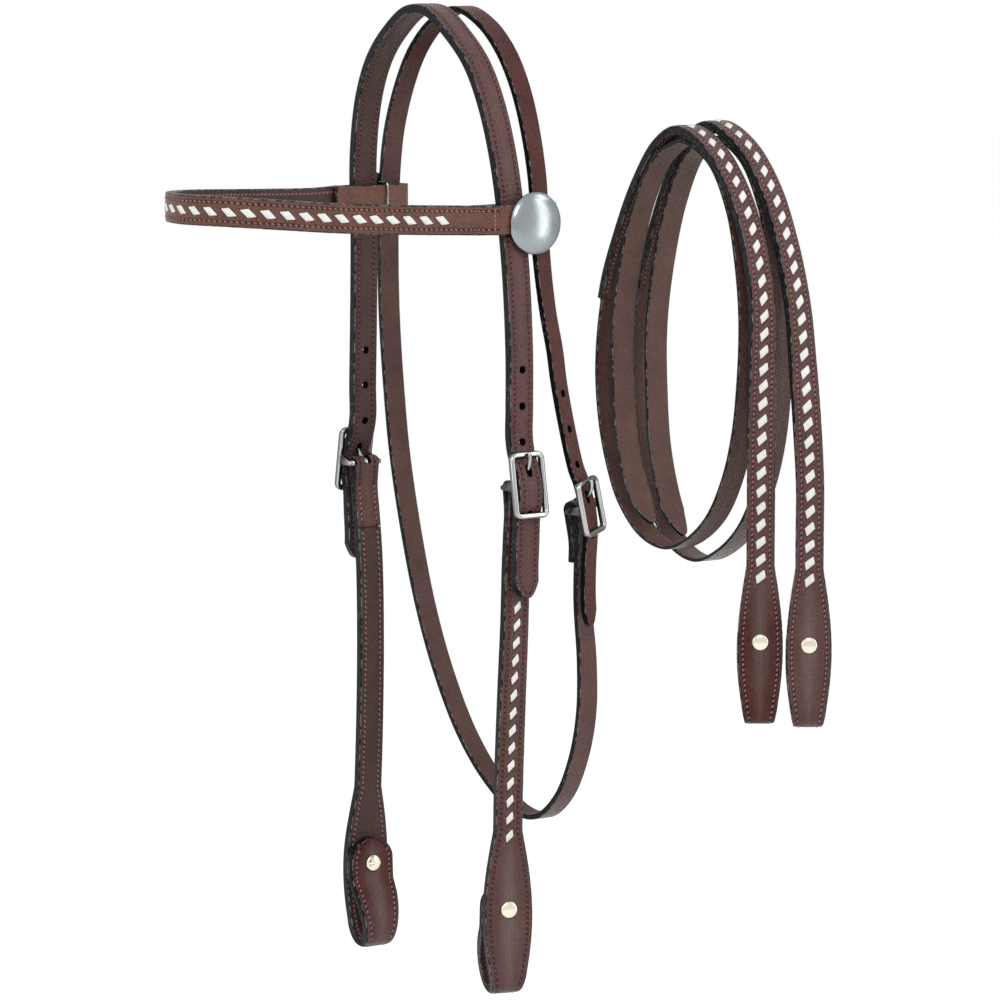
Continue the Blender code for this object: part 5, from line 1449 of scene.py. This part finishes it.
def throat_rows():
    """Rows from the billet's tip, over the poll and under the throat, to the chape's end."""
    matrix, half_ply = throat_buckle_matrix(0), THROAT_PLY / 2
    top, bottom = under_rails(THROAT_BUCKLE_HEIGHT, THROAT_SET, THROAT_PITCH, half_ply)
    rail_at = (THROAT_BUCKLE_HEIGHT - RAIL) / 2
    round_bar = BAR_RADIUS + GAP + half_ply
    over_bar = round_bar + half_ply + 1.5 * GAP + half_ply
    over_strap = THROAT_OFFSET + half_ply + 1.3 * GAP + half_ply
    down = THROAT_TAIL + bottom[0]

    def local(rise, out):
        return matrix @ Vector((0, rise, out)), matrix.col[0].xyz

    def hanging(share, out):
        place, wide = local(bottom[0], out)
        return place - Vector((0, 0, share * down)), wide

    tail = [
        hanging(1, 1.35 * over_strap), hanging(0.7, 1.15 * over_strap),
        hanging(0.35, 1.2 * over_strap), local(bottom[0], min(bottom[1], 1.1 * over_bar)),
        local(0, over_bar), local(0.5 * top[0], (over_bar + top[1]) / 2),
        local(*top), local(1.5 * top[0], 0.35 * top[1]),
    ]
    over = [
        ((x * HALF_SPREAD, y * THROAT_BACK, THROAT_PLY - z * THROAT_DROP), level_width(turn))
        for x, y, z, turn in THROAT_OVER_SHARES
    ]
    chape = [local(-1.3 * rail_at, THROAT_OFFSET), local(-0.9 * round_bar, 0.93 * round_bar)]
    for eighth in range(5):
        angle = math.pi * eighth / 4
        chape.append(local(round_bar * math.sin(angle), round_bar * math.cos(angle)))
    chape += [local(-0.9 * round_bar, -0.93 * round_bar), local(-1.3 * rail_at, -1.1 * THROAT_OFFSET)]
    strap_at = chape[0][0]
    down_strap = (Vector(over[-1][0]) - strap_at).normalized()
    end = strap_at + down_strap * (THROAT_CHAPE - 1.3 * rail_at)
    end -= matrix.col[2].xyz * 2.2 * THROAT_OFFSET
    return tail + over + chape + [(end, chape[0][1])]


throat_line = Line(throat_rows())
print("throatlatch's length in mm:", round(throat_line.length / MM, 1))

# %% Throatlatch strap
# Painted shade: along these lengths the throatlatch has less shine.
THROAT_SHADED = (-60 * MM, 450 * MM)
THROAT_STITCH_SIZE, THROAT_STITCH_PITCH = (2.2 * MM, 0.8 * MM, 0.8 * MM), 2.3 * MM
SEWN_PAST_CHAPE = 6 * MM
throat_leather = leather("throat_grain", GRAIN, FLESH, behind_gloss=0.3, shaded_span=THROAT_SHADED)
throat_matrix = throat_buckle_matrix(THROAT_PITCH)
stops = throat_line.stops(0, throat_line.length, tips=(0,))
half = narrowing(stops, THROAT_WIDTH / 2, TIP_LENGTH, 0, throat_line.length)
rings = ply_rings(
    throat_line, stops, half, -THROAT_PLY / 2, THROAT_PLY / 2, (CORNER, CORNER), (0, 0), (0, 0)
)
tongue_hole = tongue_hole_at(throat_line, throat_matrix, THROAT_BUCKLE_HEIGHT, THROAT_SET, True)
mesh = cut(
    ply_mesh("throatlatch", rings),
    punches(throat_line, billet_holes(THROAT_TAIL, THROAT_BUCKLE_HEIGHT), HOLE_RADIUS),
    punches(throat_line, [tongue_hole], TONGUE_HOLE_RADIUS, TONGUE_HOLE_STRETCH),
    chape_cutter(throat_matrix, THROAT_PLY),
)
dress("throatlatch_dressed", mesh, throat_leather, "throatlatch_strap", "throatlatch")
sewn_at = throat_line.length - THROAT_CHAPE + SEWN_PAST_CHAPE
rows = cross_row(throat_line, sewn_at, THROAT_STITCH_PITCH, ((THROAT_PLY / 2, 1),))
add_stitches("throat_chape_stitches", rows, PALE_THREAD, 0.05, 3, "throatlatch", THROAT_STITCH_SIZE)

# %% [markdown]
# ## The browband
# The browband's base ply makes a loop at each end round the crown and the throatlatch, and a
# laced outer ply covers its front. Near each end only the single, paler base shows. Half of
# it could be made and mirrored, but the far end sits a little higher in the photograph, so
# one line runs the whole way and both plies follow it.

# %% Browband line
LOOP_ROOM, LOOP_STRAP_SHARE, LOOP_SLACK = 8.6 * MM, 0.945, 2.9 * MM
BAND_LACE_COUNT, BAND_LACE_SIZE = 31, (1.06, 0.84, 1)
LOOP_HALF = (LOOP_ROOM + PLY) / 2
BAND_SHARES = (
    (0.905, -0.180, 0.06), (0.820, -0.420, 0.25), (0.725, -0.645, 0.50), (0.600, -0.815, 0.78),
    (0.436, -0.920, 0.94), (0.260, -0.975, 1.00), (0.000, -1.000, 1.00), (-0.260, -0.975, 1.00),
    (-0.436, -0.920, 0.97), (-0.600, -0.815, 0.90), (-0.725, -0.645, 0.76), (-0.820, -0.420, 0.58),
    (-0.905, -0.180, 0.44),
)


def loop_rows(side, drop):
    """Rows round the loop at one end, seen from above, from the inside to the front."""
    middle, away = LOOP_STRAP_SHARE * HALF_SPREAD, LOOP_HALF
    front = SET_BACK - STRAP_WIDTH / 2
    rear = THROAT_BACK + THROAT_WIDTH / 2 + LOOP_SLACK + PLY / 2
    inside, outside = middle - away, middle + away
    plan = (
        (inside + 0.2 * PLY, front - 1.05 * STRAP_WIDTH),
        (inside + 0.85 * PLY, front - 0.6 * STRAP_WIDTH),
        (inside + 0.3 * PLY, front - 0.25 * STRAP_WIDTH),
        (inside, front + 0.2 * STRAP_WIDTH),
        (inside, rear - 1.5 * away),
        (inside + 0.22 * away, rear - 0.45 * away),
        (middle, rear),
        (outside - 0.22 * away, rear - 0.45 * away),
        (outside, rear - 1.5 * away),
        (outside, front + 0.2 * STRAP_WIDTH),
        (outside - 0.1 * PLY, front - 0.2 * STRAP_WIDTH),
        (outside - 1.2 * PLY, front - 0.62 * STRAP_WIDTH),
        (outside - 3.0 * PLY, front - 1.12 * STRAP_WIDTH),
    )
    return [((side * x, y, -drop), (0, 0, 1)) for x, y in plan]


near_rows, far_rows = loop_rows(1, BAND_DROP), loop_rows(-1, BAND_DROP - FAR_BAND_RISE)
band_middle = [
    ((x * HALF_SPREAD, y * BAND_REACH, BAND_RISE * z - BAND_DROP), (0, 0, 1)) for x, y, z in BAND_SHARES
]
band_line = Line(near_rows + band_middle + far_rows[::-1])
band_first = Line(near_rows).length - 0.8 * STRAP_WIDTH
band_last = band_line.length - band_first
centre = (band_first + band_last) / 2
band_middles = [centre + (k - (BAND_LACE_COUNT - 1) / 2) * LACE_PITCH for k in range(BAND_LACE_COUNT)]
print("browband's length in mm:", round(band_line.length / MM, 1))
print("its overlay starts at mm:", round(band_first / MM, 1))

# %% Browband plies
BAND_LOW, BAND_HIGH = PLY / 2 + HAIR, PLY / 2 + LACE_ROOM + LACED_PLY
BASE_GRAIN, BAND_GRAIN, BASE_EDGE = (0.135, 0.050, 0.032), (0.125, 0.044, 0.028), 0.3 * MM
BAND_SEWN_INSET, END_ROW_INSET, END_ROW_PITCH = 2 * MM, 2.2 * MM, 2.5 * MM
base_leather = leather("browband_base_grain", BASE_GRAIN, LINING_GRAIN)
band_leather = leather(
    "browband_grain", BAND_GRAIN, LINING_GRAIN, stitched=True,
    laced=(band_middles[0], BAND_LACE_COUNT, 1),
)
stops = band_line.stops(0, band_line.length)
rings = ply_rings(
    band_line, stops, STRAP_WIDTH / 2, -PLY / 2, PLY / 2, (CORNER, BASE_EDGE), (0, 0), (0, 0)
)
mesh = ply_mesh("browband_base", rings)
dress("browband_base_dressed", mesh, base_leather, "browband_base", "browband")
stops = band_line.stops(band_first, band_last)
rings = ply_rings(band_line, stops, STRAP_WIDTH / 2, BAND_LOW, BAND_HIGH, (SHARP_CORNER, CORNER))
mesh = ply_mesh("browband_overlay", rings)
dress("browband_overlay_dressed", mesh, band_leather, "browband_overlay", "browband")
add_lace(
    "browband_lace_strip", band_line, band_middles, BAND_HIGH, LACE_BUMPS[1], BAND_LACE_SIZE,
    "browband_lace", "browband",
)
faces = ((BAND_HIGH, 1), (PLY / 2, -1))
rows = []
for level, face in faces:
    sewn = (band_first + BAND_SEWN_INSET, band_last - BAND_SEWN_INSET)
    rows += stitch_rows(band_line, *sewn, STRAP_WIDTH / 2, level, face)
for stop in (band_first + END_ROW_INSET, band_last - END_ROW_INSET):
    rows += cross_row(band_line, stop, END_ROW_PITCH, faces)
add_stitches("browband_stitches", rows, ROSY_THREAD, 0.14, 5, "browband")

# %% [markdown]
# ## The reins
# A rein is a long single strap that is doubled and laced near the bit. Here both reins hang
# in two turns. The doubled part goes over the top of the first turn and ends half way down.
# A spiral could be made by a formula of its own, but hanging leather isn't round, so each
# rein's line goes through shares of its drop and half width, and both reins share them.

# %% Rein lines
REIN_BACK, REIN_SPACING, REIN_TOP, REIN_HALF = 185 * MM, 22 * MM, 66 * MM, 69.5 * MM
REIN_LOOP_DROP, REIN_DROP, REIN_OVERLAY_END, REIN_SWING = 244.5 * MM, 337.5 * MM, 498 * MM, 14 * MM
REIN_EXTRA_DROP, REIN_LOOP_EXTRA, SECOND_REIN_RISE = 2 * MM, 11 * MM, 2 * MM
FAR_REIN_SHARE, NEAR_REIN_SHARE = 0.93, 1.045
REIN_LACE_START, REIN_LACE_COUNT = 88 * MM, 32
REIN_FRONT_SHARES = (
    (1.000, 0.900, 37), (1.000, 0.790, 36), (1.000, 0.660, 28), (1.000, 0.520, 14),
    (0.985, 0.385, 5), (0.872, 0.250, 0), (0.656, 0.130, 0), (0.353, 0.040, 0),
    (0.000, 0.000, 0), (-0.270, 0.035, 0), (-0.540, 0.128, 0), (-0.775, 0.250, 0),
    (-0.970, 0.385, 0), (-1.070, 0.560, 0), (-1.035, 0.700, 0), (-0.925, 0.812, 0),
    (-0.755, 0.905, 0), (-0.460, 0.978, 0), (-0.120, 1.000, 0), (0.180, 0.970, 0),
    (0.450, 0.908, 0), (0.650, 0.815, 0), (0.775, 0.710, 0), (0.840, 0.590, 0),
    (0.865, 0.440, 0), (0.815, 0.310, 0), (0.690, 0.175, 0), (0.440, 0.066, 0),
    (0.060, 0.021, 0), (-0.300, 0.066, 0), (-0.560, 0.172, 0), (-0.745, 0.315, 0),
    (-0.850, 0.470, 0), (-0.845, 0.620, 0), (-0.785, 0.760, 2), (-0.600, 0.895, 4),
    (-0.430, 0.950, 4),
)
SWUNG_ROWS, SWING_FROM, SWING_OVER = 6, 0.3, 0.45


def rein_line(second):
    """The line of a rein from the flap's end to its tip. The second hangs behind the first,
    with a narrower far half and a wider near half, and its front leg swings out."""
    far_half = REIN_HALF * (FAR_REIN_SHARE if second else 1)
    near_half = REIN_HALF * (NEAR_REIN_SHARE if second else 1)
    set_back = REIN_BACK + (REIN_SPACING if second else 0)
    swing = REIN_SWING if second else 0
    loop_drop = REIN_LOOP_DROP + (REIN_LOOP_EXTRA if second else 0)
    drop = REIN_DROP + (REIN_EXTRA_DROP if second else 0)
    top = (SECOND_REIN_RISE if second else 0) - REIN_TOP - LACED_PLY - LACE_ROOM / 2
    bottom = Vector((near_half + swing, set_back, -REIN_TOP - drop))
    fold = placed_fold(bottom, REIN_FRONT_SHARES[0][2], 1)
    rows = []
    for k, (x, z, turn) in enumerate(REIN_FRONT_SHARES):
        swung = min(1.0, max(0.0, (z - SWING_FROM) / SWING_OVER)) if k < SWUNG_ROWS else 0.0
        place = (x * (near_half if x > 0 else far_half) + swing * swung, set_back, top - z * loop_drop)
        rows.append((place, level_width(turn)))
    above = bottom + Vector((0, 0, FLAP_HEIGHT + TIP_LENGTH))
    return Line(fold[::-1] + [(above, fold[0][1])] + rows)


rein_lines = {1: rein_line(False), 2: rein_line(True)}
print("rein lengths in mm:", [round(line.length / MM) for line in rein_lines.values()])

# %% Rein plies
REIN_GRAIN, REIN_FLESH, END_EDGE = (0.075, 0.028, 0.020), (0.088, 0.036, 0.026), 0.5 * MM
OVERLAY_END_INSET = 2 * MM


def rein(number):
    """Makes a rein's pieces, and returns its line and where its screw is."""
    body, line = f"rein_{number}", rein_lines[number]
    bottom_at = lowest(line)
    screw_at = screw_length(line, bottom_at, True)
    end = bottom_at + REIN_OVERLAY_END

    def half(stops):
        flare = flared(stops, STRAP_WIDTH / 2, REIN_FLARE_WIDTH / 2, bottom_at, 0)
        tail = narrowing(stops, STRAP_WIDTH / 2, 0, 2 * TIP_LENGTH, line.length)
        return np.where(stops > line.length / 2, np.minimum(flare, tail), flare)

    def screw_hole():
        return punches(line, [screw_at], BARREL_RADIUS + GAP)

    stops = line.stops(0, line.length, tips=(0, line.length))
    doubled = np.clip((end + 1.5 * MM - stops) / (1 * MM), 0, 1)
    rings = ply_rings(
        line, stops, half(stops), -LACED_HIGH, -HAIR - (1 - doubled) * LACED_LOW,
        (CORNER, END_EDGE), (0, 0), (doubled, 0),
    )
    skin = leather(
        body + "_strap_grain", REIN_GRAIN, REIN_FLESH, gloss=0.62, behind_gloss=0.5, stitched=True,
        until=end, wrinkled=0.4,
    )
    base = cut(ply_mesh(body + "_strap", rings), screw_hole())
    dress(body + "_strap_dressed", base, skin, body + "_strap", body)

    middles = [bottom_at + REIN_LACE_START + k * LACE_PITCH for k in range(REIN_LACE_COUNT)]
    # Rein 1's overlay has less shine up to its lace, as painted shade.
    skin = leather(
        body + "_overlay_grain", GRAIN, LINING_GRAIN, stitched=True,
        laced=(middles[0], len(middles), 1),
        shaded_span=(-SHADE_PAST_END, bottom_at + REIN_LACE_START) if number == 1 else None,
    )
    stops = line.stops(0, end, tips=(0,))
    rings = ply_rings(line, stops, half(stops), HAIR, LACED_HIGH, (SHARP_CORNER, CORNER))
    outer = cut(ply_mesh(body + "_overlay", rings), screw_hole())
    dress(body + "_overlay_dressed", outer, skin, body + "_overlay", body)
    bump = LACE_BUMPS[line.flip]
    add_lace(body + "_lace_strip", line, middles, LACED_HIGH, bump, (1, 1, 1), body + "_lace", body)
    rows = []
    for face in (1, -1):
        rows += stitch_rows(line, SEW_FROM_TIP, end - OVERLAY_END_INSET, half, LACED_HIGH, face)
    add_stitches(body + "_stitches", rows, ROSY_THREAD, 0.14, 13 + number, body)
    return line, screw_at


rein_screws = {number: rein(number) for number in rein_lines}
print("rein screws at mm:", [round(screw_at / MM, 1) for _, screw_at in rein_screws.values()])

# %% [markdown]
# ## Buckles, tongues and screws
# The buckles are bent and welded from thick wire that was pressed flat, so their rails have
# a rounded section. A bevelled curve could give it, but the side rails are thinner than the
# top and bottom ones, so the section is swept round the frame and changes on the way. The bar
# sits behind on two lugs, and the tongue turns on it. The screws and conchos are turned
# shapes, so a profile is spun for them.


# %% Swept and turned shapes
def swept(rings, closed):
    """Faces through rings of points, joined end to end if closed and capped if not."""
    shape = bmesh.new()
    placed = [[shape.verts.new(point) for point in ring] for ring in rings]
    pairs = list(zip(placed, placed[1:])) + ([(placed[-1], placed[0])] if closed else [])
    for a, b in pairs:
        for k in range(len(a)):
            after = (k + 1) % len(a)
            shape.faces.new((a[k], a[after], b[after], b[k]))
    if not closed:
        shape.faces.new(placed[0][::-1])
        shape.faces.new(placed[-1])
    face_outwards(shape)
    return shape


def spun(profile, sides, matrix):
    """A closed shape turned about Z from (radius, height) pairs that start and end on the
    axis or make a closed ring."""
    on_axis = profile[0][0] == 0
    shape = bmesh.new()
    columns = [[(r * math.cos(a), r * math.sin(a), z) for r, z in profile] for a in circle(sides)]
    inner = range(1, len(profile) - 1) if on_axis else range(len(profile))
    placed = [[shape.verts.new(column[n]) for n in inner] for column in columns]
    ends = [shape.verts.new((0, 0, profile[n][1])) for n in (0, -1)] if on_axis else []
    for a, b in zip(placed, placed[1:] + placed[:1]):
        count = len(a)
        for n in range(count - 1 if on_axis else count):
            after = (n + 1) % count
            shape.faces.new((a[n], a[after], b[after], b[n]))
        if ends:
            shape.faces.new((ends[0], a[0], b[0]))
            shape.faces.new((ends[1], b[-1], a[-1]))
    bmesh.ops.recalc_face_normals(shape, faces=shape.faces[:])
    face_outwards(shape)
    bmesh.ops.transform(shape, matrix=matrix, verts=shape.verts[:])
    return shape


def joined(name, shapes, matrix=Matrix.Identity(4)):
    """One smooth mesh of several shapes, put in its place."""
    whole = bmesh.new()
    for shape in shapes:
        piece = as_mesh(shape, "piece")
        whole.from_mesh(piece)
        bpy.data.meshes.remove(piece)
    bmesh.ops.transform(whole, matrix=matrix, verts=whole.verts[:])
    return smooth(as_mesh(whole, name))


def rounded_path(width, height, radius, steps=8):
    """(x, y, outward x, outward y) round a rectangle whose corners are quarter circles."""
    path = []
    for quarter in range(4):
        across = (width / 2 - radius) * (1 if quarter in (0, 3) else -1)
        along = (height / 2 - radius) * (1 if quarter in (0, 1) else -1)
        for k in range(steps + 1):
            angle = math.pi / 2 * (quarter + k / steps)
            c, s = math.cos(angle), math.sin(angle)
            path.append((across + radius * c, along + radius * s, c, s))
    return path


print("points round a buckle:", len(rounded_path(BUCKLE_WIDTH, BUCKLE_HEIGHT, BUCKLE_CORNER)))

# %% Buckle frames
RAIL_SECTION = (
    (0.0, -0.40), (0.05, -0.49), (0.5, -0.5), (0.95, -0.49), (1.0, -0.38), (1.0, 0.0),
    (0.98, 0.18), (0.90, 0.34), (0.76, 0.45), (0.62, 0.495), (0.5, 0.505), (0.38, 0.495),
    (0.24, 0.45), (0.10, 0.34), (0.02, 0.18), (0.0, 0.0),
)
LUG_SHARES = (-0.5, -0.38, 0.38, 0.5)
BAR_SIDES = 16


def lug(across, top):
    """A lug that hangs from a side rail and holds the bar."""
    rings = []
    for share in LUG_SHARES:
        inset = LUG_BEVEL if abs(share) == 0.5 else 0
        outline = (
            (-LUG_SPAN / 2 + inset, top), (-LUG_SPAN / 4 - BAR_RADIUS / 2, top / 2),
            (-BAR_RADIUS + inset, 0), (-BAR_RADIUS / 2, -BAR_RADIUS + inset),
            (BAR_RADIUS / 2, -BAR_RADIUS + inset), (BAR_RADIUS - inset, 0),
            (LUG_SPAN / 4 + BAR_RADIUS / 2, top / 2), (LUG_SPAN / 2 - inset, top),
        )
        rings.append([(across + share * LUG_THICK, y, z) for y, z in outline])
    return swept(rings, False)


def buckle(name, matrix, width, height, set_out, body, lug_metal):
    """A frame with its lugs and its bar. The lugs and the bar take lug_metal, which is a near-black
    painted shade on the near and throat buckles.
    """
    rings = []
    for x, y, cx, cy in rounded_path(width, height, BUCKLE_CORNER):
        rail = RAIL * cy * cy + SIDE_RAIL * cx * cx
        rings.append([
            (x - cx * rail * (1 - share), y - cy * rail * (1 - share), set_out + level * FRAME_THICK)
            for share, level in RAIL_SECTION
        ])
    half = (width - SIDE_RAIL) / 2
    bar = [
        [(x, BAR_RADIUS * math.cos(a), BAR_RADIUS * math.sin(a)) for a in circle(BAR_SIDES)]
        for x in (-half, 0, half)
    ]
    shapes = [swept(rings, True)]
    rail_faces = len(shapes[0].faces)
    shapes += [lug(side * half, set_out - FRAME_THICK / 4) for side in (-1, 1)]
    mesh = joined(name, shapes + [swept(bar, False)], matrix)
    dress(name + "_dressed", mesh, POLISHED, name, body)
    mesh.materials.append(lug_metal)
    for face in mesh.polygons[rail_faces:]:
        face.material_index = 1
    print(name, "faces:", len(mesh.polygons))


CHEEK_BUCKLE = (BUCKLE_WIDTH, BUCKLE_HEIGHT, FRAME_SET)
THROAT_BUCKLE = (THROAT_BUCKLE_WIDTH, THROAT_BUCKLE_HEIGHT, THROAT_SET)
# The near buckle's lugs and bar are near-black, as painted shade.
for side, lug_metal in ((1, SHADE_BLACK_NICKEL), (-1, POLISHED)):
    name = SIDE_NAMES[side] + "_buckle_frame"
    buckle(name, cheek_buckle_matrix(side), *CHEEK_BUCKLE, "headstall", lug_metal)
buckle("throat_buckle_frame", throat_matrix, *THROAT_BUCKLE, "throatlatch", SHADE_BLACK_NICKEL)

# %% Tongues
TONGUE_TIP, TONGUE_SIDES, EYE_SIDES = ((0.45, 0.9), (0.75, 0.68), (0.95, 0.3)), 14, 28
WIDE = np.array((1, 0, 0))


def tongue(name, matrix, height, set_out, body):
    """A rod that comes out of the billet and lies over the top rail, and its eye on the bar."""
    fine = tongue_path(height, set_out)[::2]
    runs = unit(np.gradient(fine, axis=0))
    rings = []
    for k, (ahead, size) in enumerate([(0.0, 1.0)] * len(fine) + [*TONGUE_TIP]):
        n = min(k, len(fine) - 1)
        middle, side = fine[n] + runs[n] * ahead * TONGUE_RADIUS, np.cross(WIDE, runs[n])
        rings.append([
            middle + size * TONGUE_RADIUS * (WIDE * math.cos(angle) + side * math.sin(angle))
            for angle in circle(TONGUE_SIDES)
        ])
    bore, wall = BAR_RADIUS + GAP, BAR_RADIUS + GAP + TONGUE_RADIUS
    near_bore, near_wall = bore + 0.15 * MM, wall - 0.35 * MM
    half_section = [(bore, 0.42), (near_bore, 0.5), (near_wall, 0.5), (wall, 0.3)]
    section = half_section + [(r, -z) for r, z in half_section[::-1]]
    on_bar = Matrix.Rotation(math.pi / 2, 4, "Y")
    eye = spun([(r, z * EYE_WIDTH) for r, z in section], EYE_SIDES, on_bar)
    mesh = joined(name, [swept(rings, False), eye], matrix)
    dress(name + "_dressed", mesh, POLISHED, name, body)


for side, prefix in SIDE_NAMES.items():
    tongue(prefix + "_buckle_tongue", cheek_buckle_matrix(side), *CHEEK_BUCKLE[1:], prefix + "_tongue")
tongue("throat_buckle_tongue", throat_matrix, *THROAT_BUCKLE[1:], "throat_tongue")
print("tongue's length past the rail in mm:", TONGUE_PAST / MM)

# %% Screws
SHANK_RADIUS, SLOT_WIDTH, SLOT_DEPTH = 1.3 * MM, 1.2 * MM, 0.8 * MM
RIM_HEIGHT, RIM_INSET, SCREW_SIDES = 0.4 * MM, 0.15 * MM, 40
EDGE_HEIGHT, FLAT_RADIUS = 0.3 * MM, HEAD_RADIUS - 0.1 * MM


def arc_profile(radius, rise, start, steps=7):
    """From the middle of a low dome to its rim."""
    angles = [math.pi / 2 * k / steps for k in range(steps + 1)]
    return [(radius * math.sin(angle), start + rise * math.cos(angle)) for angle in angles]


def screw_set(prefix, line, length, body):
    """A post with a domed head on the front and the slotted screw in it at the back."""
    place, wide, out = (Vector(row) for row in line.spot(length))
    up_strap = out.cross(wide)
    rows = Matrix((wide, up_strap, out)).transposed().to_4x4()
    if rows.determinant() < 0:
        rows = Matrix((-wide, up_strap, out)).transposed().to_4x4()
    matrix = Matrix.Translation(place) @ rows
    outside, inside = CROWN_THICK / 2 + GAP, -(CROWN_THICK * 1.5 + 2 * GAP)
    bore, floor_at, back_at = SHANK_RADIUS + GAP, outside + HEAD_THICK / 3, inside - GAP
    dome = arc_profile(HEAD_RADIUS - RIM_INSET, HEAD_THICK - RIM_HEIGHT, outside + RIM_HEIGHT)
    profile = dome + [
        (HEAD_RADIUS, outside + EDGE_HEIGHT), (FLAT_RADIUS, outside), (BARREL_RADIUS, outside),
        (BARREL_RADIUS, inside), (bore, inside), (bore, floor_at), (0, floor_at),
    ]
    name = prefix + "_screw_post"
    post = joined(name, [spun(profile, SCREW_SIDES, matrix)])
    dress(name + "_dressed", post, SCREW_METAL, name, body)
    profile = [
        (0, outside - 2 * GAP), (SHANK_RADIUS, outside - 2 * GAP), (SHANK_RADIUS, back_at),
        (FLAT_RADIUS, back_at), (HEAD_RADIUS, back_at - EDGE_HEIGHT),
        *((r, back_at - (z - outside)) for r, z in dome[::-1]),
    ]
    screw = joined(prefix + "_screw", [spun(profile, SCREW_SIDES, matrix)])
    deep, long = back_at - HEAD_THICK, 1.2 * HEAD_RADIUS
    slot = box_cutter(
        matrix, (-long, -SLOT_WIDTH / 2, deep - SLOT_DEPTH), (long, SLOT_WIDTH / 2, deep + SLOT_DEPTH)
    )
    name = prefix + "_slotted_screw"
    dress(name + "_dressed", cut(screw, slot), SCREW_METAL, name, prefix + "_screw")


for side, prefix in SIDE_NAMES.items():
    screw_set(prefix, *cheek_screws[side], prefix + "_cheek")
for number in rein_screws:
    screw_set(f"rein_{number}", *rein_screws[number], f"rein_{number}")
print("screws:", len(cheek_screws) + len(rein_screws))

# %% [markdown]
# ## Conchos and their wires
# A concho is a thin domed disc. A flat wire ring behind it goes round the browband's loop and
# holds it there. A cut sphere would be too deep for the dome, so its profile is a low arc
# with a wall, and the wire is swept round a rounded rectangle as the buckles are.

# %% Conchos
CONCHO_DROP, CONCHO_RADIUS, CONCHO_RISE, CONCHO_WALL = 2.5 * MM, 17.2 * MM, 5.2 * MM, 1.1 * MM
CONCHO_SIDES, CONCHO_STEPS, RIM_DROP = 96, 24, 0.12 * MM
WIRE_RADIUS, WIRE_FORWARD, WIRE_SIDES, WIRE_STEPS = 0.65 * MM, 0.12 * MM, 12, 6


def concho(side):
    """A concho's dome on the outside of a browband loop, and its wire round the loop."""
    prefix = SIDE_NAMES[side]
    middle, face = LOOP_STRAP_SHARE * HALF_SPREAD, LOOP_HALF + PLY / 2
    between = (SET_BACK + STRAP_WIDTH / 2 + THROAT_BACK - THROAT_WIDTH / 2 + GAP / 2) / 2
    height = -BAND_DROP + (FAR_BAND_RISE if side < 0 else 0)
    place = Vector((side * (middle + face + 2 * GAP), between, height - CONCHO_DROP))
    outer = arc_profile(CONCHO_RADIUS, CONCHO_RISE, 0, CONCHO_STEPS)
    inner = arc_profile(CONCHO_RADIUS - CONCHO_WALL, CONCHO_RISE - CONCHO_WALL, 0, CONCHO_STEPS)
    rim = [
        (CONCHO_RADIUS - RIM_INSET, -RIM_DROP), (CONCHO_RADIUS - CONCHO_WALL + RIM_INSET, -RIM_DROP)
    ]
    dome = spun(outer + rim + inner[::-1], CONCHO_SIDES, buckle_matrix(place, 0, side))
    mesh, name = joined(prefix + "_concho", [dome]), prefix + "_concho_dome"
    dress(name + "_dressed", mesh, SATIN, name, "browband")
    across, tall = 2 * (face + 2 * GAP + WIRE_RADIUS), STRAP_WIDTH + 2 * (2 * GAP + WIRE_RADIUS)
    section = [(WIRE_RADIUS * math.cos(a), WIRE_RADIUS * math.sin(a)) for a in circle(WIRE_SIDES)]
    rings = [
        [(x + cx * away, y + cy * away, level) for away, level in section]
        for x, y, cx, cy in rounded_path(across, tall, 2.5 * WIRE_RADIUS, WIRE_STEPS)
    ]
    wide, rise = Vector((side, 0, 0)), Vector((0, 0, 1))
    rows = Matrix((wide, rise, wide.cross(rise))).transposed().to_4x4()
    matrix = Matrix.Translation((side * middle, between - WIRE_FORWARD, height)) @ rows
    wire, name = joined(prefix + "_wire", [swept(rings, True)], matrix), prefix + "_concho_wire"
    dress(name + "_dressed", wire, POLISHED, name, "browband")
    print(prefix, "concho at mm:", [round(c / MM, 1) for c in place])


for side in SIDE_NAMES:
    concho(side)

# %% [markdown]
# ## Tidy up and finish
# The helper shapes go.

# %% Finish
for helper in (STITCH, *LACE_BUMPS.values()):
    bpy.data.objects.remove(helper)
